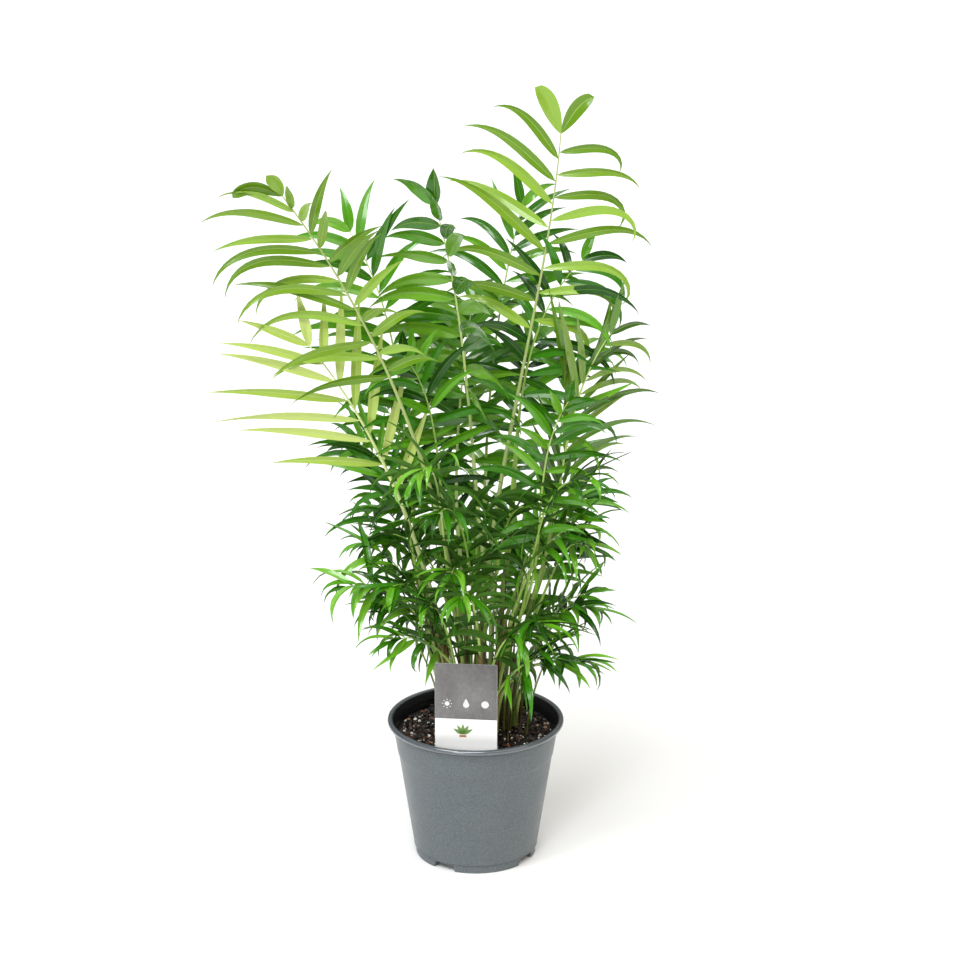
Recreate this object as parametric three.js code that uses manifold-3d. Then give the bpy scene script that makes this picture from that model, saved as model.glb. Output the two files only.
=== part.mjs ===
// Parlour palm in a round nursery pot: a clump of ten thin canes that carry
// arching feather fronds. Millimetres, +Z up, origin at the centre of the pot's foot.
// A heading is a compass turn in degrees: 0 is +X, 90 is +Y.
import * as THREE from 'three';
import { mergeVertices } from 'three/addons/utils/BufferGeometryUtils.js';
import Module from 'manifold-3d';

const wasm = await Module();
wasm.setup();

// ---- driving dimensions ----

const clearance = 0.3; // air between two pieces that rest on each other

const pot = {
  height: 139, // foot to top of the rolled rim
  rimRadius: 85,
  rimDepth: 5.6, // height of the rolled rim
  footRadius: 58.3,
  taper: 0.1535, // radius gained for each millimetre of height
  wall: 1.6,
  skirtHeight: 8.8, // the foot ring, a little inside the wall
  skirtInset: 1.5,
  band: 35, // the stepped band under the rim
  bandStep: 0.7,
  floor: 2, // thickness of the flat pad that stands on the ground
  padRadius: 41,
  channel: { inner: 44, outer: 53, height: 5, roof: 1.8 }, // drain channel round the pad
  segments: 36,
};

// notches in the foot ring, in degrees: where each is centred and how wide it opens
const notches = { headings: [238, 327, 58, 147], width: 20, height: 6.6, depth: 12 };

const soil = { top: 125, gap: 0.35 };

const label = { width: 59, height: 112, thick: 0.8, top: 217.5, x: -9, y: -60, turn: -6 };

// One row for each cane: foot on the soil, heading and size of its lean, height, girth at the foot.
const canes = [
  { x: 3, y: -10, heading: 32, lean: 14, height: 190, girth: 7 },
  { x: -9, y: -16, heading: 200, lean: 12, height: 150, girth: 6 },
  { x: -24, y: 2, heading: 175, lean: 16, height: 130, girth: 6 },
  { x: 18, y: -14, heading: 350, lean: 18, height: 125, girth: 6.5 },
  { x: 36, y: 3, heading: 10, lean: 24, height: 150, girth: 6 },
  { x: 22, y: 18, heading: 40, lean: 12, height: 190, girth: 7 },
  { x: -6, y: 16, heading: 130, lean: 14, height: 170, girth: 7 },
  { x: 8, y: 38, heading: 90, lean: 20, height: 135, girth: 6 },
  { x: 6, y: -34, heading: 262, lean: 12, height: 95, girth: 5.5 },
  { x: -28, y: 28, heading: 150, lean: 18, height: 110, girth: 6 },
];
const caneTaper = 0.4;
const canesColour = 0x9aa552;

// How a frond grows, unless its row says otherwise.
// cane, node: the cane it leaves and how far up, 1 being the tip
// heading, reach, rise: where the frond's tip lies, seen from its node
// nod: slope of the tip in degrees, roll: turn of the blade about its rib
// bare: share of the stalk without leaflets, pairs: leaflets on each side
// leaf, width: longest leaflet, droop: how far leaflets bend down
// sweep: angle of the leaflets to the rib, fan: how much it closes towards the tip
// lift: how far the leaflets stand above the blade
// late: how late a leaflet starts to bend; a pair of values is for left and right leaflets
// tipWidth, tipLength: size of the last pair against the others, shrink: how much shorter the
// leaflets get towards it, wild: how much of the scatter the frond shows
const habit = {
  roll: 0, bare: 0.38, pairs: 9, droop: 72, sweep: 60, fan: 34, lift: 10, late: 1.8,
  tipWidth: 1, tipLength: 0.5, shrink: 0, wild: 1.35,
};
// how unlike its neighbours a leaflet may be: angles in degrees, sway (a turn to one side that
// grows along the leaflet) in radians, bend and length as shares
const scatter = { sweep: 32, lift: 52, bend: 1.3, sway: 0.9, length: 0.36 };
const swayPower = 1.6;

const crownFronds = [
  { cane: 0, node: 1, heading: 46, reach: 93, rise: 384, nod: 84, roll: 44, late: 3.2,
    bare: 0.52, pairs: 8, leaf: [118, 106], width: [10.5, 9], tipWidth: 1.6, tipLength: 0.45,
    droop: [85, 125], sweep: [64, 74], fan: [30, 12], lift: 0, wild: 0.7, tone: 'fresh' },
  { cane: 1, node: 1, heading: 184, reach: 156, rise: 388, nod: 54, roll: -107, late: 2.2,
    bare: 0.52, pairs: 12, leaf: [122, 76], width: 9.5, tipWidth: 1.4, tipLength: 0.42,
    shrink: 0.12, droop: [62, 55], sweep: [50, 66], fan: [32, 20], lift: 17, wild: 1,
    tone: 'fresh' },
  { cane: 2, node: 1, heading: 190, reach: 116, rise: 262, nod: 53, roll: -90,
    bare: [0.5, 0.36], pairs: 6, leaf: [144, 116], width: [9, 10], shrink: 0.2, droop: [16, 6],
    sweep: [48, 37], fan: [25, 12], lift: 0, wild: 0.3, tone: 'pale' },
  { cane: 0, node: 0.88, heading: 144, reach: 62, rise: 348, nod: 70, roll: -86, bare: 0.4,
    pairs: 11, leaf: [96, 84], width: 15, shrink: 0.3, droop: [52, 75], sweep: [70, 66],
    fan: [14, 34], lift: 34, wild: 0.6, tone: 'bright' },
  { cane: 4, node: 1, heading: 20, reach: 72, rise: 239, nod: 50, roll: 90, bare: 0.3, pairs: 12,
    leaf: [112, 90], width: [8, 6.5], shrink: [0.4, 0.1], droop: [10, 70], sweep: [18, 46],
    fan: [4, 16], lift: 0, wild: 1, tone: 'olive' },
  { cane: 5, node: 1, heading: 28, reach: 80, rise: 262, nod: 35, roll: 60, bare: 0.44, pairs: 9,
    leaf: [70, 92], width: 9, droop: [60, 80], lift: 8, wild: 1, tone: 'deep' },
  { cane: 7, node: 1, heading: 49, reach: 56, rise: 360, nod: 66, roll: 30, bare: 0.46,
    pairs: 12, leaf: 86, width: 9, droop: 70, sweep: 62, lift: 12, wild: 1, tone: 'mid' },
  { cane: 9, node: 1, heading: 160, reach: 80, rise: 370, nod: 55, roll: -62, bare: 0.46,
    pairs: 11, leaf: 88, width: 10, droop: 70, sweep: 58, lift: 12, wild: 1, tone: 'mid' },
  { cane: 6, node: 1, heading: 78, reach: 62, rise: 236, nod: 46, roll: 10, bare: 0.4, pairs: 11,
    leaf: 82, width: 10.5, droop: 75, wild: 1, tone: 'bright' },
  { cane: 3, node: 0.9, heading: 330, reach: 62, rise: 235, nod: 55, roll: 120, bare: 0.4,
    pairs: 10, leaf: 74, width: 9, droop: 60, wild: 1, tone: 'mid' },
  { cane: 6, node: 0.86, heading: 215, reach: 66, rise: 235, nod: 50, roll: -112, pairs: 10,
    leaf: 76, width: 9, droop: 60, wild: 1, tone: 'deep' },
  { cane: 7, node: 0.8, heading: 114, reach: 78, rise: 255, nod: 40, roll: -24, bare: 0.4,
    leaf: 72, width: 8.5, droop: 60, wild: 1, tone: 'deep' },
  { cane: 5, node: 0.8, heading: 70, reach: 88, rise: 215, nod: 30, roll: 18, bare: 0.4,
    leaf: 68, width: 8.5, droop: 60, wild: 1, tone: 'deep' },
  { cane: 9, node: 0.78, heading: 130, reach: 84, rise: 215, nod: 25, roll: -36, bare: 0.4,
    leaf: 66, width: 8, droop: 60, wild: 1, tone: 'deep' },
];

const outerFronds = [
  { cane: 1, node: 0.8, heading: 244, reach: 81, rise: 167, nod: -35, bare: 0.5, pairs: 8,
    leaf: 68, width: 8, droop: 78, tone: 'mid' },
  { cane: 8, node: 1, heading: 252, reach: 58, rise: 78, nod: -30, bare: 0.4, pairs: 8, leaf: 62,
    width: 7.5, droop: 78, tone: 'mid' },
  { cane: 8, node: 0.55, heading: 312, reach: 53, rise: 68, nod: -35, bare: 0.4, pairs: 7,
    leaf: 56, width: 7.5, droop: 78, tone: 'mid' },
  { cane: 4, node: 0.72, heading: 340, reach: 62, rise: 84, nod: -35, bare: 0.4, pairs: 8,
    leaf: 62, width: 7.5, droop: 68, tone: 'mid' },
  { cane: 5, node: 0.58, heading: 357, reach: 78, rise: 122, nod: 24, roll: 60, bare: 0.5,
    pairs: 8, leaf: 70, width: 7, droop: 63, sweep: 50, tone: 'deep' },
  { cane: 3, node: 1, heading: 356, reach: 66, rise: 92, nod: 5, roll: 10, bare: 0.42, pairs: 8,
    leaf: 60, width: 7, droop: 73, tone: 'mid' },
  { cane: 3, node: 0.62, heading: 300, reach: 74, rise: 62, nod: -10, bare: 0.35, leaf: 60,
    width: 7, droop: 63, tone: 'deep' },
  { cane: 4, node: 0.42, heading: 8, reach: 70, rise: 58, nod: -15, bare: 0.35, leaf: 60,
    width: 7, droop: 68, tone: 'deep' },
  { cane: 3, node: 0.34, heading: 345, reach: 82, rise: 42, nod: -12, bare: 0.35, leaf: 62,
    width: 7, droop: 63, tone: 'mid' },
  { cane: 2, node: 0.66, heading: 192, reach: 92, rise: 66, nod: -25, roll: -15, bare: 0.5,
    pairs: 7, leaf: 62, width: 8.5, droop: 68, tone: 'mid' },
  { cane: 2, node: 0.88, heading: 170, reach: 74, rise: 170, nod: 25, roll: -66, bare: 0.5,
    leaf: 76, width: 7, droop: 48, sweep: 42, tone: 'deep' },
  { cane: 1, node: 0.4, heading: 205, reach: 74, rise: 50, nod: -20, roll: -10, bare: 0.35,
    leaf: 60, width: 7.5, droop: 83, tone: 'mid' },
  { cane: 9, node: 0.5, heading: 190, reach: 56, rise: 66, nod: -5, bare: 0.35, pairs: 8,
    leaf: 60, width: 7.5, droop: 78, tone: 'deep' },
  { cane: 1, node: 0.62, heading: 262, reach: 62, rise: 96, nod: -20, bare: 0.4, pairs: 8,
    leaf: 62, width: 7.5, droop: 78, tone: 'mid' },
  { cane: 0, node: 0.62, heading: 310, reach: 70, rise: 130, nod: 0, bare: 0.4, leaf: 64,
    width: 7.5, tone: 'deep' },
  { cane: 8, node: 0.28, heading: 334, reach: 76, rise: 74, nod: -5, leaf: 60, width: 7.5,
    tone: 'deep' },
];

// The other fronds fill the clump by rule: nodes on each cane, turned away from the clump's middle.
const filling = {
  nodes: [[0.4], [0.2], [0.36, 0.22], [0.74], [0.22, 0.9], [0.36, 0.22], [0.62, 0.4, 0.25],
    [0.61, 0.37, 0.21], [], [0.58, 0.29]],
  turns: [0, 62, -62],
  middle: { x: 6, y: 0, heading: 235 },
  tones: ['mid', 'deep', 'deep'],
  seed: 2,
};

// the six tall fronds that stand out of the clump carry all their leaflets, the rest this share
const solidLeaflets = { tallest: 6, share: 0.66, thick: 1.05, slimmest: 80 };

const toneColours = {
  fresh: 0x7ba62c, pale: 0xacc954, bright: 0x5c981c, olive: 0x5a8520, mid: 0x4a9414, deep: 0x215604,
};

// ---- small tools ----

const zAxis = new THREE.Vector3(0, 0, 1);
const radians = THREE.MathUtils.degToRad;

// a repeatable number from 0 to 1 for two whole numbers
function chance(a, b) {
  const s = Math.sin(a * 127.1 + b * 311.7) * 43758.5453;
  return s - Math.floor(s);
}

function towards(degrees) {
  return new THREE.Vector3(Math.cos(radians(degrees)), Math.sin(radians(degrees)), 0);
}

// the sum of weighted vectors, given as pairs of a vector and its weight
function blend(...pairs) {
  const sum = new THREE.Vector3();
  for (const [vector, weight] of pairs) sum.addScaledVector(vector, weight);
  return sum;
}

function solidOf(geometry) {
  geometry.deleteAttribute('normal');
  geometry.deleteAttribute('uv');
  const welded = mergeVertices(geometry, 1e-4);
  return new wasm.Manifold(new wasm.Mesh({
    numProp: 3,
    vertProperties: new Float32Array(welded.attributes.position.array),
    triVerts: new Uint32Array(welded.index.array),
  }));
}

function geometryOf(solid) {
  const mesh = solid.getMesh();
  const geometry = new THREE.BufferGeometry();
  geometry.setAttribute('position', new THREE.BufferAttribute(new Float32Array(mesh.vertProperties), 3));
  geometry.setIndex(new THREE.BufferAttribute(new Uint32Array(mesh.triVerts), 1));
  geometry.computeVertexNormals();
  return geometry;
}

// A closed skin over a row of sections. A section is a ring of points, or one point at a pole.
// An end that is a ring gets a flat cap. Faces are turned outwards at the end.
function skin(sections) {
  const points = sections.flat();
  const starts = [];
  let count = 0;
  for (const section of sections) {
    starts.push(count);
    count += section.length;
  }
  const faces = [];
  for (let i = 0; i + 1 < sections.length; i += 1) {
    const sides = Math.max(sections[i].length, sections[i + 1].length);
    for (let k = 0; k < sides; k += 1) {
      const next = (k + 1) % sides;
      const low = sections[i].length > 1;
      const high = sections[i + 1].length > 1;
      const a = starts[i] + (low ? k : 0);
      const b = starts[i] + (low ? next : 0);
      const c = starts[i + 1] + (high ? next : 0);
      const d = starts[i + 1] + (high ? k : 0);
      if (low) faces.push(a, b, c);
      if (high) faces.push(a, c, d);
    }
  }
  const cap = (section, start, flip) => {
    for (let k = 1; k + 1 < section.length; k += 1) {
      if (flip) faces.push(start, start + k + 1, start + k);
      else faces.push(start, start + k, start + k + 1);
    }
  };
  cap(sections[0], starts[0], true);
  cap(sections.at(-1), starts.at(-1), false);
  let volume = 0;
  for (let i = 0; i < faces.length; i += 3) {
    const [a, b, c] = [points[faces[i]], points[faces[i + 1]], points[faces[i + 2]]];
    volume += a.dot(new THREE.Vector3().crossVectors(b, c));
  }
  if (volume < 0) faces.reverse();
  return new wasm.Manifold(new wasm.Mesh({
    numProp: 3,
    vertProperties: new Float32Array(points.flatMap((p) => p.toArray())),
    triVerts: new Uint32Array(faces),
  }));
}

// A tapering limb along a path that bends in the upright plane of its heading. Each stop has
// a ring of points square to the path. Its first point lies on the inner, upper side.
function limb(path, stops, sides) {
  const level = towards(path.heading + 90);
  const rings = stops.map((t) => {
    const along = path.slopeAt(t);
    const inner = new THREE.Vector3().crossVectors(along, level).normalize();
    const other = new THREE.Vector3().crossVectors(along, inner);
    const radius = path.radiusAt(t);
    return Array.from({ length: sides }, (_, k) => {
      const turn = (2 * Math.PI * k) / sides;
      return blend([path.pointAt(t), 1],
        [inner, radius * Math.cos(turn)], [other, radius * Math.sin(turn)]);
    });
  });
  return skin(rings);
}

const evenly = (count) => Array.from({ length: count + 1 }, (_, i) => i / count);

function turnedSolid(profile) {
  const points = profile.map(([radius, height]) => new THREE.Vector2(radius, height));
  const geometry = new THREE.LatheGeometry(points, pot.segments);
  geometry.rotateX(Math.PI / 2);
  return solidOf(geometry);
}

function boxSolid(size, place, turn = 0) {
  const geometry = new THREE.BoxGeometry(...size);
  geometry.rotateZ(radians(turn));
  geometry.translate(...place);
  return solidOf(geometry);
}

// ---- pot, soil and label ----

const wallRadius = (z) => pot.footRadius + pot.taper * z;
const insideRadius = (z) => wallRadius(z) - pot.wall;
const channelTop = pot.channel.height + pot.channel.roof;

function potSolid() {
  const bandFoot = pot.height - pot.band;
  const rimFoot = pot.height - pot.rimDepth;
  const rim = pot.rimRadius;
  const { inner, outer, height } = pot.channel;
  const shell = turnedSolid([
    [0, 0], [pot.padRadius, 0], [inner, height], [outer, height], [outer + 1, 0],
    [pot.footRadius, 0], [wallRadius(pot.skirtHeight) - pot.skirtInset, pot.skirtHeight],
    [wallRadius(pot.skirtHeight + 0.6), pot.skirtHeight + 0.6],
    [wallRadius(bandFoot), bandFoot],
    [wallRadius(bandFoot) + pot.bandStep, bandFoot + 0.6],
    [wallRadius(rimFoot) + pot.bandStep, rimFoot],
    [rim - 1.6, rimFoot], [rim - 0.4, rimFoot + 1], [rim, rimFoot + 2.8], [rim - 0.6, rimFoot + 4.4],
    [rim - 2.6, pot.height], [rim - 4.6, pot.height - 0.5], [rim - 5.6, pot.height - 2],
    [insideRadius(rimFoot), rimFoot - 0.5],
    [insideRadius(pot.skirtHeight + 2), pot.skirtHeight + 2],
    [outer + 3, channelTop], [inner + 1, channelTop], [pot.padRadius + 1, pot.floor], [0, pot.floor],
  ]);
  const cutters = notches.headings.map((heading) => {
    const middle = towards(heading).multiplyScalar(pot.footRadius);
    const size = [notches.depth, notches.width, notches.height * 2];
    return boxSolid(size, middle.toArray(), heading);
  });
  return cutters.reduce((body, cutter) => body.subtract(cutter), shell);
}

function labelSolid(grow = 0) {
  const size = [label.width + 2 * grow, label.thick + 2 * grow, label.height + 2 * grow];
  return boxSolid(size, [label.x, label.y, label.top - label.height / 2], label.turn);
}

function soilSolid() {
  const side = (z) => insideRadius(z) - soil.gap;
  const [low, ledge, foot] = [pot.floor + clearance, channelTop + clearance, pot.skirtHeight + 2.4];
  const body = turnedSolid([
    [0, low], [pot.padRadius + 0.6, low], [pot.channel.inner + 0.6, ledge],
    [pot.channel.outer + 2.6, ledge], [side(foot) - clearance, foot],
    [side(soil.top), soil.top], [0, soil.top],
  ]);
  return body.subtract(labelSolid(clearance));
}

// ---- canes ----

// A cane leaves the soil upright and leans more and more: its lean grows with the square of its height.
function canePoint(cane, t) {
  return new THREE.Vector3(cane.x, cane.y, soil.top + clearance + cane.height * t)
    .addScaledVector(towards(cane.heading), cane.lean * t * t);
}

function caneSlope(cane, t) {
  return blend([towards(cane.heading), 2 * cane.lean * t], [zAxis, cane.height]).normalize();
}

const caneRadius = (cane, t) => (cane.girth / 2) * (1 - caneTaper * t);

function caneSolid(cane) {
  return limb({
    heading: cane.heading,
    pointAt: (t) => canePoint(cane, t),
    slopeAt: (t) => caneSlope(cane, t),
    radiusAt: (t) => caneRadius(cane, t),
  }, evenly(5), 8);
}

// ---- fronds ----

function fillingFronds() {
  const rows = [];
  filling.nodes.forEach((nodes, cane) => nodes.forEach((node, k) => {
    const r = (j) => chance(cane * 7 + k * 3 + filling.seed, j);
    const { x, y, height } = canes[cane];
    const away = THREE.MathUtils.radToDeg(Math.atan2(y - filling.middle.y, x - filling.middle.x));
    const outward = cane === 0 ? filling.middle.heading : away;
    const above = height * node;
    const rise = 45 + above + 70 * r(2);
    rows.push({
      cane, node, rise,
      heading: outward + filling.turns[k] + 30 * (r(1) - 0.5),
      reach: 32 + 0.22 * rise + 26 * r(3),
      nod: -25 + 50 * r(4) + 0.1 * above,
      roll: 60 * (r(5) - 0.5),
      leaf: 57 + 0.14 * above + 8 * r(6),
      width: 7.2 + r(6),
      tone: filling.tones[Math.floor(r(7) * 3)],
    });
  }));
  return rows;
}

const sided = (value, hand) => (Array.isArray(value) ? value[hand > 0 ? 0 : 1] : value);
const longest = (frond) => sided(frond.leaf, 1);
const stalkRadius = (frond, t) => (1 + longest(frond) / 100) * (1 - 0.78 * t);

// The stalk is one Bezier curve. It leaves the cane's tip in line with it, or a node on
// the cane's side just clear of the bark, and ends at the frond's tip with the slope nod.
function stalkCurve(frond) {
  const cane = canes[frond.cane];
  const out = towards(frond.heading);
  const up = caneSlope(cane, frond.node);
  const root = canePoint(cane, frond.node);
  let start = blend([root, 1], [up, clearance]);
  let leave = up;
  if (frond.node < 1) {
    const side = blend([out, 1], [up, -out.dot(up)]).normalize();
    const off = caneRadius(cane, frond.node) + clearance + stalkRadius(frond, 0);
    start = blend([root, 1], [side, off]);
    leave = blend([up, 1], [side, 0.3]).normalize();
  }
  const tip = blend([root, 1], [out, frond.reach], [zAxis, frond.rise]);
  const nod = radians(frond.nod);
  const arrive = blend([out, Math.cos(nod)], [zAxis, Math.sin(nod)]);
  const handle = tip.distanceTo(start) / 3;
  return new THREE.CubicBezierCurve3(start, blend([start, 1], [leave, handle]),
    blend([tip, 1], [arrive, -handle]), tip);
}

const ribPieces = (frond) => (frond.rise > 200 ? 9 : 7); // straight pieces along the rib

function ribSolid(frond) {
  const curve = stalkCurve(frond);
  return limb({
    heading: frond.heading,
    pointAt: (t) => curve.getPoint(t),
    slopeAt: (t) => curve.getTangent(t),
    radiusAt: (t) => stalkRadius(frond, t),
  }, evenly(ribPieces(frond)), 3);
}

// the middle of the rib as it is built, in straight pieces
function ribMiddle(frond, curve, t) {
  const pieces = ribPieces(frond);
  const piece = Math.min(Math.floor(t * pieces), pieces - 1);
  const from = curve.getPoint(piece / pieces);
  return from.lerp(curve.getPoint((piece + 1) / pieces), t * pieces - piece);
}

// Where each leaflet springs from the rib, where it points, and its size.
// They stand left and right by turns, longest a little past the middle of the blade, and
// close up towards the tip, where a shorter, broader pair ends the frond.
function leafletsOf(frond, number, pairs) {
  const curve = stalkCurve(frond);
  const list = [];
  for (let k = 0; k < 2 * pairs + 2; k += 1) {
    const last = k >= 2 * pairs;
    const hand = k % 2 === 0 ? 1 : -1;
    const s = last ? 1 : (Math.floor(k / 2) + 0.3 * (k % 2) + 0.1) / pairs;
    const bare = sided(frond.bare, hand);
    const t = bare + (1 - bare) * (last ? 0.985 : 0.96 * s ** 0.92);
    const along = curve.getTangent(t);
    const level = towards(frond.heading + 90);
    const flat = blend([level, 1], [along, -along.dot(level)]).normalize();
    const above = new THREE.Vector3().crossVectors(along, flat);
    const roll = radians(frond.roll);
    const side = blend([flat, Math.cos(roll)], [above, Math.sin(roll)]);
    const face = blend([above, Math.cos(roll)], [flat, -Math.sin(roll)]);
    const unlike = (kind, seed, step) => (
      frond.wild * scatter[kind] * (chance(number + seed, k + step) - 0.5));
    const swell = 0.72 + 0.5 * Math.sin(Math.PI * Math.min(1, s * 0.86 + 0.12));
    const shorter = 1 - sided(frond.shrink, hand) * s ** 3;
    const size = last ? frond.tipLength : (swell / 1.22) * (1 + unlike('length', 1, 1)) * shorter;
    const turned = sided(frond.fan, hand) * (0.35 - s) + unlike('sweep', 51, 7);
    const angle = radians(last ? 26 : sided(frond.sweep, hand) + turned);
    const lift = radians(sided(frond.lift, hand) + unlike('lift', 91, 3));
    const heading = blend([along, Math.cos(angle)], [side, hand * Math.cos(lift) * Math.sin(angle)],
      [face, Math.sin(lift) * Math.sin(angle)]).normalize();
    list.push({
      base: ribMiddle(frond, curve, t),
      heading,
      face,
      length: sided(frond.leaf, hand) * size,
      width: sided(frond.width, hand) * (last ? frond.tipWidth : 0.75 + 0.25 * size),
      bend: radians(sided(frond.droop, hand) * (1 + unlike('bend', 11, 5))),
      sway: unlike('sway', 71, 13),
      late: sided(frond.late, hand),
    });
  }
  return list;
}

// A leaflet's midrib bends down: its slope falls with a power of the way along, more the more
// level it starts, and it sways a little to one side. The blade keeps its turn about the midrib.
function leafletStops(leaflet, wanted) {
  const steps = 20;
  const level = new THREE.Vector3(leaflet.heading.x, leaflet.heading.y, 0);
  const slope = Math.atan2(leaflet.heading.z, level.length());
  level.normalize();
  const turn = leaflet.bend * (0.35 + 0.65 * Math.cos(slope));
  const blade = new THREE.Vector3().crossVectors(leaflet.face, leaflet.heading).normalize();
  const upright = blend([level, -Math.sin(slope)], [zAxis, Math.cos(slope)]);
  const flatShare = blade.dot(new THREE.Vector3().crossVectors(zAxis, level));
  const steepShare = blade.dot(upright);
  // the slope, and the level direction with its sway, at a share u of the way along
  const courseAt = (u) => [
    slope - turn * u ** leaflet.late,
    level.clone().applyAxisAngle(zAxis, leaflet.sway * u ** swayPower),
  ];
  const point = leaflet.base.clone();
  const stops = [];
  for (let i = 0; i <= steps; i += 1) {
    if (wanted.includes(i)) {
      const [here, aim] = courseAt(i / steps);
      const raised = blend([aim, -Math.sin(here)], [zAxis, Math.cos(here)]);
      const cross = new THREE.Vector3().crossVectors(zAxis, aim);
      const across = blend([cross, flatShare], [raised, steepShare]).normalize();
      const heading = blend([aim, Math.cos(here)], [zAxis, Math.sin(here)]);
      const under = new THREE.Vector3().crossVectors(across, heading);
      stops.push({ point: point.clone(), across, under });
    }
    const [next, aim] = courseAt((i + 0.5) / steps);
    point.addScaledVector(aim, (Math.cos(next) * leaflet.length) / steps);
    point.addScaledVector(zAxis, (Math.sin(next) * leaflet.length) / steps);
  }
  return stops;
}

// A leaflet is a three-sided blade: a point sunk in the rib, two sections and the tip.
function leafletSolid(leaflet, grow = 0) {
  const [base, wide, narrow, tip] = leafletStops(leaflet, [0, 6, 14, 20]);
  const thick = Math.max(solidLeaflets.thick, leaflet.length / solidLeaflets.slimmest);
  const section = (stop, share) => {
    const half = (leaflet.width * share) / 2 + grow;
    return [
      blend([stop.point, 1], [stop.across, half], [stop.under, -thick / 3 - grow]),
      blend([stop.point, 1], [stop.across, -half], [stop.under, -thick / 3 - grow]),
      blend([stop.point, 1], [stop.under, (2 * thick) / 3 + grow]),
    ];
  };
  return skin([[base.point], section(wide, 1), section(narrow, 0.8), [tip.point]]);
}

// ---- assembly ----

const group = new THREE.Group();

function add(name, solid, colour, roughness) {
  const material = new THREE.MeshStandardMaterial({ color: colour, roughness, metalness: 0 });
  const mesh = new THREE.Mesh(geometryOf(solid), material);
  mesh.name = name;
  group.add(mesh);
}

const twoDigits = (number) => String(number + 1).padStart(2, '0');

function boxesMeet(a, b) {
  return [0, 1, 2].every((i) => a.min[i] <= b.max[i] && b.min[i] <= a.max[i]);
}

// a solid with its bounding box, and the number of the piece that it belongs to
const placed = (solid, owner) => ({ solid, owner, box: solid.boundingBox() });

function touches(candidate, owner, others) {
  const box = candidate.boundingBox();
  return others.some((other) => other.owner !== owner && boxesMeet(box, other.box)
    && !candidate.intersect(other.solid).isEmpty());
}

const potBody = potSolid();
const soilBody = soilSolid();
const labelBody = labelSolid();
const caneBodies = canes.map(caneSolid);
const fronds = [...crownFronds, ...outerFronds, ...fillingFronds()].map((row) => ({ ...habit, ...row }));
const ribBodies = fronds.map(ribSolid);

add('pot', potBody, 0x7b8387, 0.5);
add('potting_soil', soilBody, 0x2b2019, 0.95);
add('plant_label', labelBody, 0x6f6d6e, 0.6);
caneBodies.forEach((body, i) => add(`cane_${twoDigits(i)}`, body, canesColour, 0.55));

// Ribs and canes have their place first. A leaflet that would touch anything but its own frond
// is left off.
const taken = [potBody, soilBody, labelBody, ...caneBodies].map((body) => placed(body, -1));
ribBodies.forEach((body, i) => taken.push(placed(body, i)));
fronds.forEach((frond, i) => {
  const share = i < solidLeaflets.tallest ? 1 : solidLeaflets.share;
  const parts = [ribBodies[i]];
  for (const leaflet of leafletsOf(frond, i, Math.round(frond.pairs * share))) {
    if (touches(leafletSolid(leaflet, clearance), i, taken)) continue;
    const blade = leafletSolid(leaflet);
    parts.push(blade);
    taken.push(placed(blade, i));
  }
  add(`frond_${twoDigits(i)}`, wasm.Manifold.union(parts), toneColours[frond.tone], 0.45);
});

export default group;
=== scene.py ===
import math
import bpy
import numpy as np
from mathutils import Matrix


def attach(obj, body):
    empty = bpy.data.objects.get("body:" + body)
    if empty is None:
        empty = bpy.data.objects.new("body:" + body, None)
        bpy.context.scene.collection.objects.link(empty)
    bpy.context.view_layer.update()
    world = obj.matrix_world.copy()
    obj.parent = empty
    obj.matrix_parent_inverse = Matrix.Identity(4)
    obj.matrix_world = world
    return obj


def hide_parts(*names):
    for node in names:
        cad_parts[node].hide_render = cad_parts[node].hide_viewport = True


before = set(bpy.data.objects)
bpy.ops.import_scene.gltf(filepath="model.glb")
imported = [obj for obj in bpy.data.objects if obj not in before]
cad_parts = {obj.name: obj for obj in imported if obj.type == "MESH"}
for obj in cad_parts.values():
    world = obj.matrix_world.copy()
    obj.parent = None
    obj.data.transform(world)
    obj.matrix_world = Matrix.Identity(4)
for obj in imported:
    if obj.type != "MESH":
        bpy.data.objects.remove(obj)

# Parlour palm in its nursery pot. Shapes are worked out in millimetres, Z up, with the origin at
# the centre of the pot's foot, and put into the meshes in metres. A heading is a compass turn in
# degrees: 0 is +X, 90 is +Y.

mm = 0.001
zUp = np.array([0.0, 0.0, 1.0])
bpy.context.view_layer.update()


def chance(a, b):
    # a repeatable number from 0 to 1 for two whole numbers
    s = np.sin(np.asarray(a) * 127.1 + np.asarray(b) * 311.7) * 43758.5453
    return s - np.floor(s)


def towards(degrees):
    turn = np.radians(np.asarray(degrees, float))
    return np.stack([np.cos(turn), np.sin(turn), np.zeros_like(turn)], -1)


def dot(a, b):
    return np.sum(a * b, -1, keepdims=True)


def unit(v):
    return v / np.linalg.norm(v, axis=-1, keepdims=True)


def evenTurns(count):
    return np.arange(count) * 2 * math.pi / count


def hoops(along, level, angle):
    # directions square to a path, turned by angle from the one that is square to level too
    inner = unit(np.cross(along, level))[..., None, :]
    other = np.cross(along[..., None, :], inner)
    return inner * np.cos(angle)[..., None] + other * np.sin(angle)[..., None]


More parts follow.
